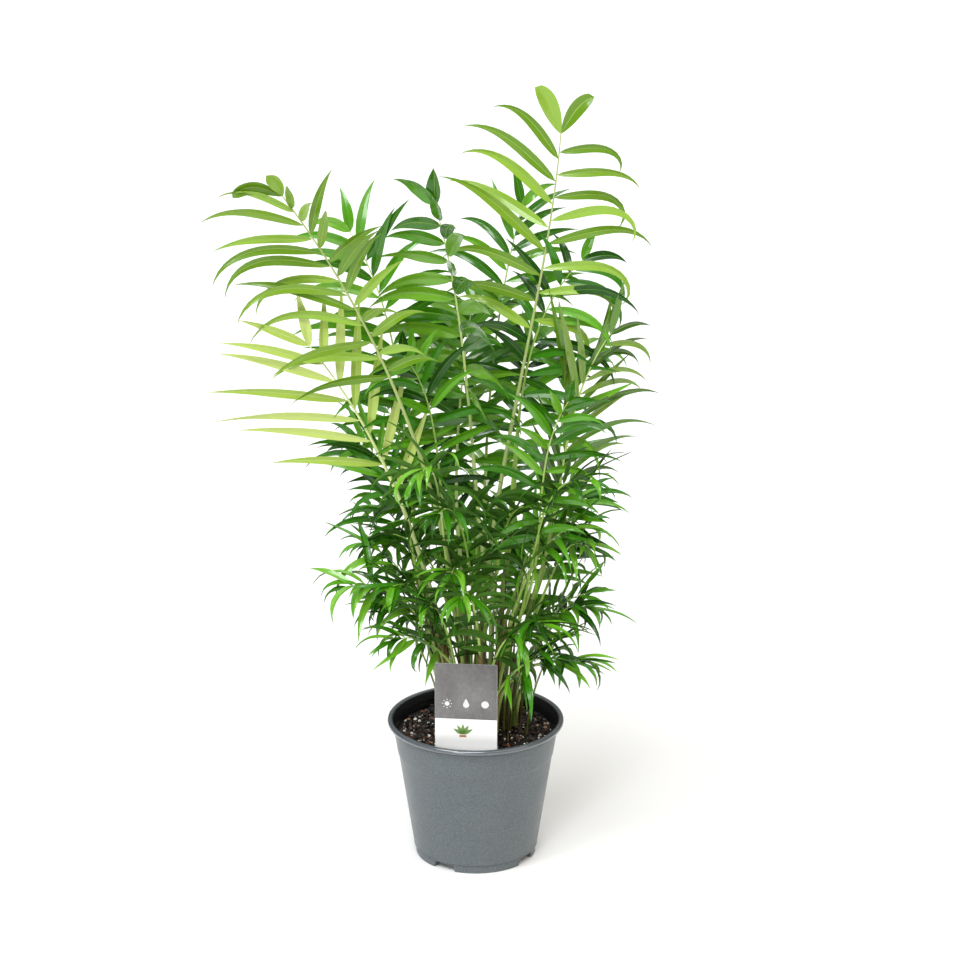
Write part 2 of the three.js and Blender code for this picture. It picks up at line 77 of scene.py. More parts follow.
def loft(rings, foot, head):
    # Closed skins over rows of rings. rings is bodies x rows x sides x 3. Each body closes in one
    # point below its first ring and one point above its last.
    bodies, rows, sides = rings.shape[:3]
    flat = rings.reshape(bodies, rows * sides, 3)
    points = np.concatenate([foot[:, None], flat, head[:, None]], 1)
    each = rows * sides + 2
    k = np.arange(sides)
    n = (k + 1) % sides
    row = np.arange(rows - 1)[:, None] * sides + 1
    quads = np.stack([row + k, row + n, row + sides + n, row + sides + k], -1).reshape(-1, 4)
    top = 1 + (rows - 1) * sides
    ends = np.concatenate([
        np.stack([np.zeros(sides, int), 1 + n, 1 + k], -1),
        np.stack([np.full(sides, each - 1), top + k, top + n], -1)])
    offset = np.arange(bodies)[:, None, None] * each
    return points.reshape(-1, 3), (quads + offset).reshape(-1, 4), (ends + offset).reshape(-1, 3)


def loftSlots(bodies, rows, sides, slotOf):
    # the material slot of each face of a loft; slotOf(body, row, side) works on whole arrays
    b = np.arange(bodies)[:, None, None]
    r = np.arange(rows - 1)[None, :, None]
    k = np.arange(sides)[None, None, :]
    quads = np.broadcast_to(slotOf(b, r, k), (bodies, rows - 1, sides)).reshape(-1)
    low = np.broadcast_to(slotOf(b, r[:, :1], k), (bodies, 1, sides))
    high = np.broadcast_to(slotOf(b, r[:, -1:], k), (bodies, 1, sides))
    return np.concatenate([quads, np.concatenate([low, high], 1).reshape(-1)])


def place(name, data):
    # a new object in the scene
    thing = bpy.data.objects.new(name, data)
    bpy.context.scene.collection.objects.link(thing)
    return thing


def putPiece(name, points, faces, finishes, slots=None, across=None, creaseAngle=45):
    # Puts arrays of points in millimetres and of faces into a mesh, turned to face outwards.
    # faces is a list of arrays, each with faces of one size. across is a UV pair for each point.
    volume = 0.0
    for group in faces:
        corner = [points[group[:, i]] for i in range(group.shape[1])]
        for i in range(1, len(corner) - 1):
            volume += np.sum(corner[0] * np.cross(corner[i], corner[i + 1]))
    if volume < 0:
        faces = [group[:, ::-1] for group in faces]
    sizes = np.concatenate([np.full(len(group), group.shape[1]) for group in faces])
    corners = np.concatenate([group.ravel() for group in faces]).astype(np.int32)
    mesh = bpy.data.meshes.new(name)
    mesh.vertices.add(len(points))
    mesh.vertices.foreach_set("co", (points * mm).astype(np.float32).ravel())
    mesh.loops.add(len(corners))
    mesh.loops.foreach_set("vertex_index", corners)
    mesh.polygons.add(len(sizes))
    mesh.polygons.foreach_set("loop_start", (np.cumsum(sizes) - sizes).astype(np.int32))
    for finish in finishes:
        mesh.materials.append(finish)
    if slots is not None:
        mesh.polygons.foreach_set("material_index", slots.astype(np.int32))
    mesh.update(calc_edges=True)
    if across is not None:
        layer = mesh.uv_layers.new(name="bladeMap")
        layer.data.foreach_set("uv", across[corners].astype(np.float32).ravel())
    mesh.polygons.foreach_set("use_smooth", np.ones(len(sizes), bool))
    mesh.set_sharp_from_angle(angle=math.radians(creaseAngle))
    return place(name, mesh)


def paint(code):
    # a web colour as linear light
    parts = [int(code[i:i + 2], 16) / 255 for i in (1, 3, 5)]
    return [c / 12.92 if c < 0.04045 else ((c + 0.055) / 1.055) ** 2.4 for c in parts] + [1.0]


def addNode(tree, kind, inputs=None, **settings):
    # a shader node with its settings, each input set to a value or fed by a socket
    node = tree.nodes.new(kind)
    for key, value in settings.items():
        setattr(node, key, value)
    for key, value in (inputs or {}).items():
        if isinstance(value, bpy.types.NodeSocket):
            tree.links.new(value, node.inputs[key])
        else:
            node.inputs[key].default_value = value
    return node


class Finish:
    # a material under construction: a Principled shader and short calls for the nodes that feed it
    def __init__(self, name, colour, roughness, **sockets):
        self.material = bpy.data.materials.new(name)
        self.material.use_nodes = True
        self.tree = self.material.node_tree
        self.shader = self.tree.nodes["Principled BSDF"]
        self.shader.inputs["Base Color"].default_value = paint(colour)
        self.shader.inputs["Roughness"].default_value = roughness
        for socket, value in sockets.items():
            self.shader.inputs[socket.replace("_", " ")].default_value = value

    def node(self, kind, inputs, **settings):
        return addNode(self.tree, kind, inputs, **settings)

    def coordinates(self, stretch=(1, 1, 1), output="Object"):
        origin = self.node("ShaderNodeTexCoord", {}).outputs[output]
        return self.node("ShaderNodeMapping", {"Vector": origin, "Scale": stretch}).outputs["Vector"]

    def upward(self):
        return self.node("ShaderNodeSeparateXYZ", {"Vector": self.coordinates()}).outputs["Z"]

    def noise(self, scale, detail=3, stretch=(1, 1, 1), output="Object", roughness=0.55):
        return self.node("ShaderNodeTexNoise", {
            "Vector": self.coordinates(stretch, output), "Scale": scale, "Detail": detail,
            "Roughness": roughness}).outputs["Fac"]

    def streaks(self, scale, detail, height):
        # upright streaks; height is how much of the noise is left along them
        return self.noise(scale, detail, stretch=(1, 1, height), roughness=0.6)

    def ramp(self, factor, *stops):
        # colours by place: each stop is a place from 0 to 1 and a web colour
        node = self.node("ShaderNodeValToRGB", {"Fac": factor})
        while len(node.color_ramp.elements) < len(stops):
            node.color_ramp.elements.new(0.5)
        for element, (position, colour) in zip(node.color_ramp.elements, stops):
            element.position = position
            element.color = paint(colour)
        return node.outputs["Color"]

    def span(self, factor, low, high, toLow=0.0, toHigh=1.0):
        return self.node("ShaderNodeMapRange", {
            "Value": factor, "From Min": low, "From Max": high, "To Min": toLow,
            "To Max": toHigh}).outputs["Result"]

    def mix(self, factor, first, second):
        # inputs 6 and 7 and output 2 are the ones that hold colours
        inputs = {0: factor, 6: first, 7: second}
        return self.node("ShaderNodeMix", inputs, data_type="RGBA").outputs[2]

    def feed(self, socket, output):
        self.tree.links.new(output, self.shader.inputs[socket])
        return self

    def colour(self, factor, *stops):
        return self.feed("Base Color", self.ramp(factor, *stops))

    def bump(self, height, strength, distance):
        relief = {"Height": height, "Strength": strength, "Distance": distance}
        return self.feed("Normal", self.node("ShaderNodeBump", relief).outputs["Normal"])


def makeCamera():
    view = {"place": (0, -3.0, 1.406), "pitch": 18.89, "turn": -0.08, "lens": 126.6, "film": 36,
            "farthest": 60}
    camera = place("viewpoint", bpy.data.cameras.new("viewpoint"))
    camera.location = view["place"]
    camera.rotation_euler = (math.radians(90 - view["pitch"]), 0, math.radians(view["turn"]))
    camera.data.lens = view["lens"]
    camera.data.sensor_width = view["film"]
    camera.data.clip_end = view["farthest"]
    bpy.context.scene.camera = camera


def makeStudio():
    studio = {
        "floorSize": 60, "floorColour": "#fbfbfa", "skyColour": "#fdfefc",
        # the sky's strength goes from dim at the low height to bright at the high one
        "sky": {"From Min": 0.15, "From Max": 0.9, "To Min": 0.08, "To Max": 0.72},
        # name, where it comes from, strength, softness in degrees, colour
        "suns": [
            ("keySun", (-1.05, -0.95, 1.8), 1.35, 24, "#fcfdff"),
            ("noonSun", (-0.1, -1.35, 1.8), 1.1, 24, "#fcfdff"),
            ("frontSun", (-0.5, -1.3, 0.55), 0.7, 16, "#ffffff"),
            ("fillSun", (1.3, -0.9, 1.5), 0.5, 40, "#ffedd8"),
            ("backSun", (0.2, 0.8, 1.6), 0.5, 40, "#ffffff"),
        ],
    }
    half = studio["floorSize"] / 2 / mm
    corners = np.array([[-half, -half, 0], [half, -half, 0], [half, half, 0], [-half, half, 0.0]])
    card = Finish("floorPaint", studio["floorColour"], 0.7)
    floor = putPiece("floor", corners, [np.array([[0, 1, 2, 3]])], [card.material])
    world = bpy.data.worlds.new("studioLight")
    world.use_nodes = True
    tree = world.node_tree
    outlook = addNode(tree, "ShaderNodeTexCoord").outputs["Generated"]
    height = addNode(tree, "ShaderNodeSeparateXYZ", {"Vector": outlook}).outputs["Z"]
    glow = addNode(tree, "ShaderNodeMapRange", {"Value": height, **studio["sky"]})
    background = tree.nodes["Background"]
    background.inputs["Color"].default_value = paint(studio["skyColour"])
    tree.links.new(glow.outputs["Result"], background.inputs["Strength"])
    bpy.context.scene.world = world
    bpy.context.scene.view_settings.view_transform = "Standard"
    for name, (x, y, z), strength, softness, colour in studio["suns"]:
        light = bpy.data.lights.new(name, "SUN")
        light.energy = strength
        light.color = paint(colour)[:3]
        light.angle = math.radians(softness)
        place(name, light).rotation_euler = (
            math.atan2(math.hypot(x, y), z), 0, math.atan2(y, x) + math.pi / 2)


makeCamera()
makeStudio()
print("camera, floor and suns ready")


pot = {
    "height": 139, "rimRadius": 85, "rimDepth": 5.6, "footRadius": 58.3, "taper": 0.1535,
    "wall": 1.6, "skirtHeight": 8.8, "skirtInset": 1.5, "lip": 0.3, "band": 35, "bandStep": 0.7,
    "floor": 2, "padRadius": 41,
    "channelInner": 44, "channelOuter": 53, "channelHeight": 5, "channelRoof": 1.8,
    "innerRings": [7.5, 10.5, 13.5],       # ridges inside, under the rim's top
    "ringRelief": 0.8, "ringWidth": 0.6,
    "beadRadius": 2.9, "beadHeight": 2.8, "beadArc": (-70, 108), "beadSteps": 11,
    "notches": [238, 327, 58, 147],        # where the foot ring is cut away
    "notchWidth": 20, "notchHeight": 6.6, "notchSlope": 2,
    "columns": 216, "columnGap": 0.3,
}


def wallRadius(z):
    return pot["footRadius"] + pot["taper"] * z


def turnedFrom(headings, centres):
    # how far each heading is from the nearest centre, in degrees
    return np.abs((headings[:, None] - np.ravel(centres) + 180) % 360 - 180).min(1)


def potColumns():
    # headings round the pot, with two extra columns at each edge of each notch
    reach = math.degrees(pot["notchWidth"] / 2 / pot["footRadius"])
    edges = np.array([reach, reach + pot["notchSlope"]])
    extra = np.ravel([heading + side * edges for heading in pot["notches"] for side in (-1, 1)])
    evenly = np.arange(pot["columns"]) * 360 / pot["columns"]
    evenly = evenly[turnedFrom(evenly, extra) > pot["columnGap"]]
    return np.sort(np.concatenate([evenly, extra % 360])), reach


def makePot():
    # A profile turned about the upright axis: radius and height go from the pad's middle, out over
    # the drain channel, up the wall, over the rolled rim and down inside. Where a notch is, the
    # lowest points of the foot ring are lifted to the notch's height.
    rimFoot = pot["height"] - pot["rimDepth"]
    bandFoot = pot["height"] - pot["band"]
    top, rim, inner = pot["height"], pot["rimRadius"], pot["channelInner"]
    outer, deep = pot["channelOuter"], pot["channelHeight"]
    skirt, step = pot["skirtHeight"], pot["bandStep"]
    roof = deep + pot["channelRoof"]
    skirtWall, lip = wallRadius(skirt), wallRadius(skirt) + pot["lip"]
    profile = [(pot["padRadius"], 0), (inner, deep), (outer, deep), (outer + 1, 0.25), (outer + 1.4, 0),
               (pot["footRadius"] - 0.9, 0), (pot["footRadius"] - 0.4, 0.5),
               (skirtWall - pot["skirtInset"], skirt - 0.1), (skirtWall - 0.2, skirt + 0.1),
               (lip, skirt + 0.5), (lip, skirt + 1.1), (wallRadius(skirt + 2), skirt + 1.9)]
    profile += [(wallRadius(z), z) for z in np.linspace(skirt + 6, bandFoot - 0.8, 9)]
    profile += [(wallRadius(bandFoot) + 0.1, bandFoot), (wallRadius(bandFoot) + step, bandFoot + 0.7)]
    profile += [(wallRadius(z) + step, z) for z in np.linspace(bandFoot + 4, rimFoot - 0.7, 4)]
    profile += [(rim - 1.4, rimFoot + 0.05)]
    beadFrom = len(profile)
    wide, tall = pot["beadRadius"], pot["beadHeight"]
    over = np.radians(np.linspace(*pot["beadArc"], pot["beadSteps"]))
    profile += list(zip(rim - wide + wide * np.cos(over), rimFoot + tall + tall * np.sin(over)))
    profile += [(rim - 4.4, top - 0.35), (rim - 5.4, top - 1.5)]
    insideFrom = len(profile)
    for depth in pot["innerRings"]:
        ridge, below = top - depth, top - depth - pot["ringWidth"]
        profile += [(wallRadius(ridge) - pot["wall"] - pot["ringRelief"], ridge),
                    (wallRadius(below) - pot["wall"], below)]
    profile += [(wallRadius(z) - pot["wall"], z) for z in (110, 60, skirt + 2)]
    profile += [(outer + 3, roof), (inner + 1, roof), (pot["padRadius"] + 1, pot["floor"])]
    radius, height = np.array(profile).T
    headings, reach = potColumns()
    away = turnedFrom(headings, pot["notches"])
    lift = pot["notchHeight"] * np.clip((reach + pot["notchSlope"] - away) / pot["notchSlope"], 0, 1)
    ringFoot = (radius > outer + 0.5) & (height < 1)
    z = np.where(ringFoot[:, None], np.maximum(height[:, None], lift[None, :]), height[:, None])
    rings = towards(headings)[None] * radius[:, None, None] + z[..., None] * zUp
    foot = np.array([[0, 0, 0.0]])
    head = np.array([[0, 0, float(pot["floor"])]])
    points, quads, ends = loft(rings[None], foot, head)

    def slotOf(b, r, k):
        bead = (r >= beadFrom) & (r <= beadFrom + pot["beadSteps"])
        return np.where(r >= insideFrom - 1, 1, np.where(bead, 2, 0)) + 0 * k

    slots = loftSlots(1, len(radius), len(headings), slotOf)
    shell = Finish("greyPotPlastic", "#626a6d", 0.42, Specular_IOR_Level=0.5)
    speckle = shell.noise(900, 2)
    cloud = shell.noise(14, 3)
    grey = shell.ramp(speckle, (0.3, "#434b50"), (0.5, "#596266"), (0.72, "#767d80"))
    dull = shell.ramp(cloud, (0.3, "#50585c"), (0.7, "#5f6667"))
    shell.feed("Base Color", shell.mix(0.4, grey, dull))
    shell.feed("Roughness", shell.span(shell.noise(40, 4), 0.3, 0.7, 0.3, 0.42))
    shell.bump(speckle, 0.12, 0.0004)
    lining = Finish("darkPotLining", "#0b0c0d", 0.4, Specular_IOR_Level=0.3)
    lining.colour(lining.noise(60, 4), (0.35, "#060607"), (0.7, "#0f1011"))
    lining.bump(lining.noise(500, 2), 0.1, 0.0004)
    # the bead's colours are painted darker than the wall's: painted shade for the dark look of the
    # glossy rim
    bead = Finish("polishedRimPaintedDark", "#484f55", 0.3, Specular_IOR_Level=0.5, Coat_Weight=1,
                  Coat_Roughness=0.1, Coat_IOR=1.7)
    bead.colour(bead.noise(30, 3), (0.3, "#3c4449"), (0.7, "#515960"))
    bead.feed("Roughness", bead.span(bead.noise(70, 4), 0.3, 0.7, 0.2, 0.38))
    bead.bump(bead.noise(160, 2, stretch=(1, 1, 4)), 0.06, 0.0005)
    piece = putPiece("nurseryPot", points, [quads, ends],
                     [shell.material, lining.material, bead.material], slots, creaseAngle=40)
    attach(piece, "root")
    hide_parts("pot")


makePot()
print("pot turned")


soil = {
    "top": 125, "sunk": 0.8, "gap": 0.6, "foot": 11, "footGap": 1.2, "floorGap": 0.4, "overChannel": 7.2,
    "rings": 34, "crowd": 0.8, "columns": 150, "relief": 1.5,
    "bumps": [(0.6, 23, 3), (0.5, 7, 11)],                  # share, size and seed of each kind
    "heap": {"x": 12, "y": 0, "height": 4, "spread": 34},   # earth drawn up round the canes
    "strewnTo": 3.5,                                        # how near the wall a lump may lie
    # a lump: the rings of its corners, how far out a corner lies (least and range), how unevenly
    # the corners are spaced, depth for one of width, range of the tilt in radians, and how far its
    # middle stands over the soil as a share of its half height
    "lump": {"polar": [45, 90, 135], "corners": 6, "rough": (0.7, 0.6), "uneven": 0.4,
             "depth": 0.75, "tilt": 0.9, "raised": 0.35},
    "peat": {"count": 1800, "low": 0.8, "high": 3.2, "flat": 0.7},
    "perlite": {"count": 330, "low": 0.6, "high": 2.0, "flat": 0.8},
    "bark": {"count": 260, "low": 1.4, "high": 4.0, "flat": 0.32},
}


fullTurn = 6.283       # in radians


def bumps(x, y, size, seed):
    # a smooth field from -1 to 1: crossed waves of unlike lengths, turned by a seeded angle
    total = 0
    for i in range(5):
        turn = fullTurn * chance(seed, i)
        wave = size * (0.5 + 0.9 * chance(seed + 1, i))
        ahead = x * np.cos(turn) + y * np.sin(turn)
        total = total + np.sin(ahead * fullTurn / wave + 9 * chance(seed + 2, i))
    return total / 3


def soilHeight(x, y):
    # level earth with two sizes of bumps, and a low heap round the canes
    heap = soil["heap"]
    away = ((x - heap["x"]) ** 2 + (y - heap["y"]) ** 2) / heap["spread"] ** 2
    fine = sum(share * bumps(x, y, size, seed) for share, size, seed in soil["bumps"])
    return soil["top"] - soil["sunk"] + soil["relief"] * fine + heap["height"] * np.exp(-away)


def makeSoil():
    # A round body: its top is a polar grid raised by soilHeight, its side follows the pot's wall.
    edge = wallRadius(soil["top"]) - pot["wall"] - soil["gap"]
    share = np.linspace(1, 0, soil["rings"] + 1)[:-1] ** soil["crowd"]
    around = towards(np.arange(soil["columns"]) * 360 / soil["columns"])
    footRadius = wallRadius(soil["foot"]) - pot["wall"] - soil["footGap"]
    floor, over = pot["floor"] + soil["floorGap"], soil["overChannel"]
    low = [around * r + z * zUp for r, z in (
        (pot["padRadius"] * 0.98, floor), (pot["channelInner"] + 0.6, over),
        (pot["channelOuter"] + 2.4, over), (footRadius, soil["foot"]))]
    top = around[None] * (edge * share)[:, None, None]
    top = top + soilHeight(top[..., 0], top[..., 1])[..., None] * zUp
    rings = np.concatenate([np.array(low), top])[None]
    foot = np.array([[0, 0, floor]])
    head = np.array([[0, 0, float(soilHeight(0.0, 0.0))]])
    points, quads, ends = loft(rings, foot, head)
    earth = Finish("dampPeat", "#1d1410", 0.75)
    grain = earth.noise(420, 5, roughness=0.7)
    earth.colour(grain, (0.3, "#060403"), (0.55, "#120a07"), (0.75, "#2a1a12"))
    earth.bump(grain, 0.9, 0.0012)
    piece = putPiece("pottingSoil", points, [quads, ends], [earth.material], creaseAngle=60)
    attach(piece, "root")
    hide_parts("potting_soil")


def lumps(row, seed):
    # Angular lumps: each is a ball of three rings of corners, every corner pushed in or out by
    # chance, flattened by the row's share, turned to a random heading and tilt, and strewn on the soil.
    lump, count = soil["lump"], row["count"]
    rings, corners = len(lump["polar"]), lump["corners"]
    index = np.arange(count)
    each = index[:, None, None]
    side = np.arange(corners)[None, None, :]
    ring = np.arange(rings)[None, :, None]
    polar = np.radians(np.array(lump["polar"]))[None, :, None]
    least, more = lump["rough"]
    jitter = least + more * chance(seed + 5 * each + 31, side * 3 + ring)
    turn = evenTurns(corners) + lump["uneven"] * chance(each + seed, side + ring)
    shape = np.stack([np.sin(polar) * np.cos(turn), lump["depth"] * np.sin(polar) * np.sin(turn),
                      -np.cos(polar) * row["flat"] + 0 * turn], -1) * jitter[..., None]
    ends = np.array([[0, 0, -row["flat"]], [0, 0, row["flat"]]]) * np.ones((count, 1, 1))
    size = row["low"] + (row["high"] - row["low"]) * chance(index, seed + 1) ** 2
    spin = fullTurn * chance(index, seed + 2)[:, None]
    tilt = lump["tilt"] * (chance(index, seed + 3) - 0.5)[:, None]
    farthest = wallRadius(soil["top"]) - pot["wall"] - soil["strewnTo"]
    reach = farthest * np.sqrt(chance(index, seed + 4))
    bearing = fullTurn * chance(index, seed + 6)
    x, y = reach * np.cos(bearing), reach * np.sin(bearing)
    centre = np.stack([x, y, soilHeight(x, y) + lump["raised"] * size * row["flat"]], -1)
    x, y, z = np.concatenate([shape.reshape(count, -1, 3), ends], 1).transpose(2, 0, 1)
    x, z = x * np.cos(tilt) - z * np.sin(tilt), x * np.sin(tilt) + z * np.cos(tilt)
    x, y = x * np.cos(spin) - y * np.sin(spin), x * np.sin(spin) + y * np.cos(spin)
    placed = np.stack([x, y, z], -1) * size[:, None, None] + centre[:, None]
    return loft(placed[:, :-2].reshape(count, rings, corners, 3), placed[:, -2], placed[:, -1])


def strew(name, row, seed, looks):
    # lumps of one kind; looks are the name, colour and roughness of the finishes dealt out to them
    points, quads, ends = lumps(row, seed)
    choice = np.floor(chance(np.arange(row["count"]), seed + 8) * len(looks)).astype(int)
    slots = np.concatenate([np.repeat(choice, len(group) // row["count"]) for group in (quads, ends)])
    finishes = [Finish(*look).material for look in looks]
    piece = putPiece(name, points, [quads, ends], finishes, slots, creaseAngle=30)
    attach(piece, "root")


makeSoil()
strew("peatLumps", soil["peat"], 100, [
    ("peatBlack", "#080504", 0.35), ("peatSoot", "#0f0906", 0.25), ("peatBrown", "#26160e", 0.5),
    ("peatUmber", "#432a1b", 0.6)])
strew("perliteGrains", soil["perlite"], 200, [
    ("perliteWhite", "#efece6", 0.7), ("perliteGrey", "#bdb8b0", 0.75)])
strew("barkChips", soil["bark"], 300, [
    ("barkDark", "#1e100a", 0.3), ("barkRust", "#7a452c", 0.45), ("barkTan", "#b3896a", 0.5),
    ("barkWet", "#100906", 0.18), ("barkGrey", "#857468", 0.4)])
print("soil filled and strewn")


label = {
    "width": 59, "height": 112, "thick": 0.8, "top": 217.5, "x": -9, "y": -60, "turn": -6,
    "corner": 1.2, "bevel": 0.12, "panelFoot": 161.6,
}


def onLabel(points):
    # from the label's own plane (x across, y out of its back, z up) to its place in the pot
    turn = math.radians(label["turn"])
    c, s = math.cos(turn), math.sin(turn)
    x = points[..., 0] * c - points[..., 1] * s + label["x"]
    y = points[..., 0] * s + points[..., 1] * c + label["y"]
    return np.stack([x, y, points[..., 2]], -1)


def roundedRow(halfWidth, z):
    # one level cut through the card: a thin box with its long edges broken
    h, t, bevel = halfWidth, label["thick"] / 2, label["bevel"]
    cut = [(-h, -t + bevel), (-h + bevel, -t), (h - bevel, -t), (h, -t + bevel),
           (h, t - bevel), (h - bevel, t), (-h + bevel, t), (-h, t - bevel)]
    return [(x, y, z) for x, y in cut]


def makeLabel():
    # level cuts stacked from foot to top; near both ends they narrow along a quarter circle
    half, corner, top = label["width"] / 2, label["corner"], label["top"]
    foot = top - label["height"]
    ease = np.linspace(0, math.pi / 2, 6)
    low = [(half - corner + corner * math.sin(a), foot + corner - corner * math.cos(a)) for a in ease]
    high = [(half - corner + corner * math.cos(a), top - corner + corner * math.sin(a)) for a in ease]
    middle = [(half, z) for z in (label["panelFoot"] - 0.2, label["panelFoot"])]
    levels = low + middle + high
    rings = onLabel(np.array([[roundedRow(w, z) for w, z in levels]]))
    foots, heads = rings[:, 0].mean(1), rings[:, -1].mean(1)
    points, quads, ends = loft(rings, foots, heads)
    panelRow = len(low) + 1

    def slotOf(b, r, k):
        return np.where((r >= panelRow) & (k == 1), 1, 0) + 0 * b

    slots = loftSlots(1, len(levels), 8, slotOf)
    card = Finish("whiteCard", "#fcfcfb", 0.35, Specular_IOR_Level=0.45)
    card.colour(card.noise(25, 2), (0.3, "#f8f8f7"), (0.7, "#ffffff"))
    panel = Finish("slatePanel", "#6f6c6d", 0.4, Specular_IOR_Level=0.45)
    worn = panel.noise(38, 6, stretch=(1, 1, 0.6), roughness=0.62)
    tint = panel.ramp(worn, (0.3, "#595758"), (0.5, "#6d6a6b"), (0.72, "#8a8788"))
    speck = panel.ramp(panel.noise(260, 3), (0.4, "#5f5d5e"), (0.7, "#7d7a7b"))
    panel.feed("Base Color", panel.mix(0.35, tint, speck))
    panel.feed("Roughness", panel.span(worn, 0.3, 0.7, 0.33, 0.5))
    piece = putPiece("plantLabel", points, [quads, ends], [card.material, panel.material], slots,
                     creaseAngle=30)
    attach(piece, "root")
    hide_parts("plant_label")


# plain care signs: places across and up the card, then sizes
signs = {
    "sunk": 0.3, "proud": 0.07, "corners": 28,
    "sun": (-18, 177, 2.3), "rays": 8, "rayReach": 4.2, "rayRadius": 0.55,
    "drop": (0, 176.2, 2.9), "disc": (18, 177, 3.6),
    "leaf": (-3, 146, 11, 3.4), "leans": [-58, -30, 0, 30, 58], "bowl": (-3, 144.3, 6.5, 2.2),
}


def inlay(outlines):
    # Flat inlays on the card's face: each outline (bodies x corners x 2, measured across and up)
    # becomes a thin plate from just under the face to just over it.
    face = -label["thick"] / 2
    x, z = outlines[..., 0], outlines[..., 1]
    rings = np.stack([np.stack([x, np.full_like(x, y), z], -1)
                      for y in (face + signs["sunk"], face - signs["proud"])], 1)
    return loft(onLabel(rings), onLabel(rings[:, 0]).mean(1), onLabel(rings[:, 1]).mean(1))


def disc(x, z, radius):
    turn = evenTurns(signs["corners"])
    return np.stack([x + radius * np.cos(turn), z + radius * np.sin(turn)], -1)


def sprig(x, z, length, width, lean):
    # a leaf outline: half width goes with the sine of the way up, drawn out to a point, and leans
    u = np.linspace(0, 1, signs["corners"] // 2 + 1)
    half = 0.5 * width * np.sin(math.pi * u ** 0.8)
    up = np.concatenate([u, u[-2:0:-1]]) * length
    off = np.concatenate([half, -half[-2:0:-1]])
    c, s = math.cos(math.radians(lean)), math.sin(math.radians(lean))
    return np.stack([x + off * c + up * s, z - off * s + up * c], -1)


def drop(x, z, radius):
    # a circle whose top is drawn out to a point
    turn = evenTurns(signs["corners"])
    point = 1 + 1.1 * np.clip(np.cos(turn), 0, 1) ** 6
    return np.stack([x + radius * np.sin(turn), z + radius * point * np.cos(turn)], -1)


def bar(x, z, width, height):
    # a box outline with tight round corners: a circle's sine and cosine raised to a small power
    turn = evenTurns(signs["corners"]) + math.pi / signs["corners"]
    c, s = np.cos(turn), np.sin(turn)
    return np.stack([x + width / 2 * np.sign(c) * np.abs(c) ** 0.08,
                     z + height / 2 * np.sign(s) * np.abs(s) ** 0.08], -1)


def makeSigns():
    # a sun, a drop and a disc on the panel, and a plant in a bowl on the white
    sunX, sunZ, _ = signs["sun"]
    rays = [disc(sunX + signs["rayReach"] * math.cos(a), sunZ + signs["rayReach"] * math.sin(a),
                 signs["rayRadius"]) for a in evenTurns(signs["rays"])]
    cares = [disc(*signs["sun"]), drop(*signs["drop"]), disc(*signs["disc"])] + rays
    leaves = [sprig(*signs["leaf"], lean) for lean in signs["leans"]]
    for name, outlines, ink, colour in (
            ("careSigns", cares, "paleInk", "#dcdad8"), ("sprigSign", leaves, "greenInk", "#6f9448"),
            ("bowlSign", [bar(*signs["bowl"])], "clayInk", "#b9774d")):
        points, quads, ends = inlay(np.array(outlines))
        finish = Finish(ink, colour, 0.4)
        piece = putPiece(name, points, [quads, ends], [finish.material], creaseAngle=30)
        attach(piece, "root")


makeLabel()
makeSigns()
print("label printed")


canes = {
    "clearance": 0.3, "taper": 0.4, "slim": 0.84, "rows": 90, "sides": 14, "sunk": 6,
    # foot x and y, heading and size of the lean, height, girth at the foot
    "feet": np.array([
        [3, -10, 32, 14, 190, 7], [-9, -16, 200, 12, 150, 6], [-24, 2, 175, 16, 130, 6],
        [18, -14, 350, 18, 125, 6.5], [36, 3, 10, 24, 150, 6], [22, 18, 40, 12, 190, 7],
        [-6, 16, 130, 14, 170, 7], [8, 38, 90, 20, 135, 6], [6, -34, 262, 12, 95, 5.5],
        [-28, 28, 150, 18, 110, 6]]),
    "firstScar": 6, "scarSpacing": 17, "scarScatter": 5, "scarSwell": 0.13, "scarWidth": 0.9,
    "collarSwell": 0.75, "collarLength": 24, "collarTop": 3, "collarFoot": 6,
    "dents": [(0.025, 3), (0.02, 5)],      # size and count round the cane of each kind of dent
    "dentClimb": 13,                       # millimetres up the cane for one radian round it
}


def canePoint(cane, t):
    # a cane leaves the soil upright and its lean grows with the square of its height
    x, y, heading, lean, height, _ = canes["feet"][cane]
    foot = np.array([x, y, soil["top"] + canes["clearance"]])
    t = np.asarray(t, float)[..., None]
    return foot + height * t * zUp + towards(heading) * lean * t ** 2


def caneSlope(cane, t):
    _, _, heading, lean, height, _ = canes["feet"][cane]
    return unit(towards(heading) * 2 * lean * np.asarray(t, float)[..., None] + zUp * height)


def caneRadius(cane, t):
    return canes["feet"][cane][5] / 2 * (1 - canes["taper"] * np.asarray(t, float))


# cane, node: the cane it leaves and how far up, 1 being the tip
# heading, reach, rise: where the frond's tip lies, seen from its node
# nod: slope of the tip in degrees, roll: turn of the blade about its rib
# bare: share of the stalk without leaflets, pairs: leaflets on each side
# leaf, width: longest leaflet, droop: how far leaflets bend down
columns = "cane node heading reach rise nod roll bare pairs leaf width droop tone".split()
# sweep: angle of the leaflets to the rib, fan: how much it closes towards the tip
# lift: how far the leaflets stand above the blade, late: how late a leaflet starts to bend
# tipWidth, tipLength: size of the last pair against the others, shrink: how much shorter
# leaflets get towards it, wild: how much of the scatter the frond shows
# A pair of values is for the left and the right leaflets.
habit = {"roll": 0, "bare": 0.38, "pairs": 9, "droop": 72, "sweep": 60, "fan": 34, "lift": 10,
         "late": 1.8, "tipWidth": 1.0, "tipLength": 0.5, "shrink": 0, "wild": 1.35}
# how unlike its neighbours a leaflet may be: angles in degrees, sway (a turn to one side that
# grows along the leaflet) in radians, bend and length as shares
scatter = {"sweep": 32, "lift": 52, "bend": 1.3, "sway": 0.9, "length": 0.36}


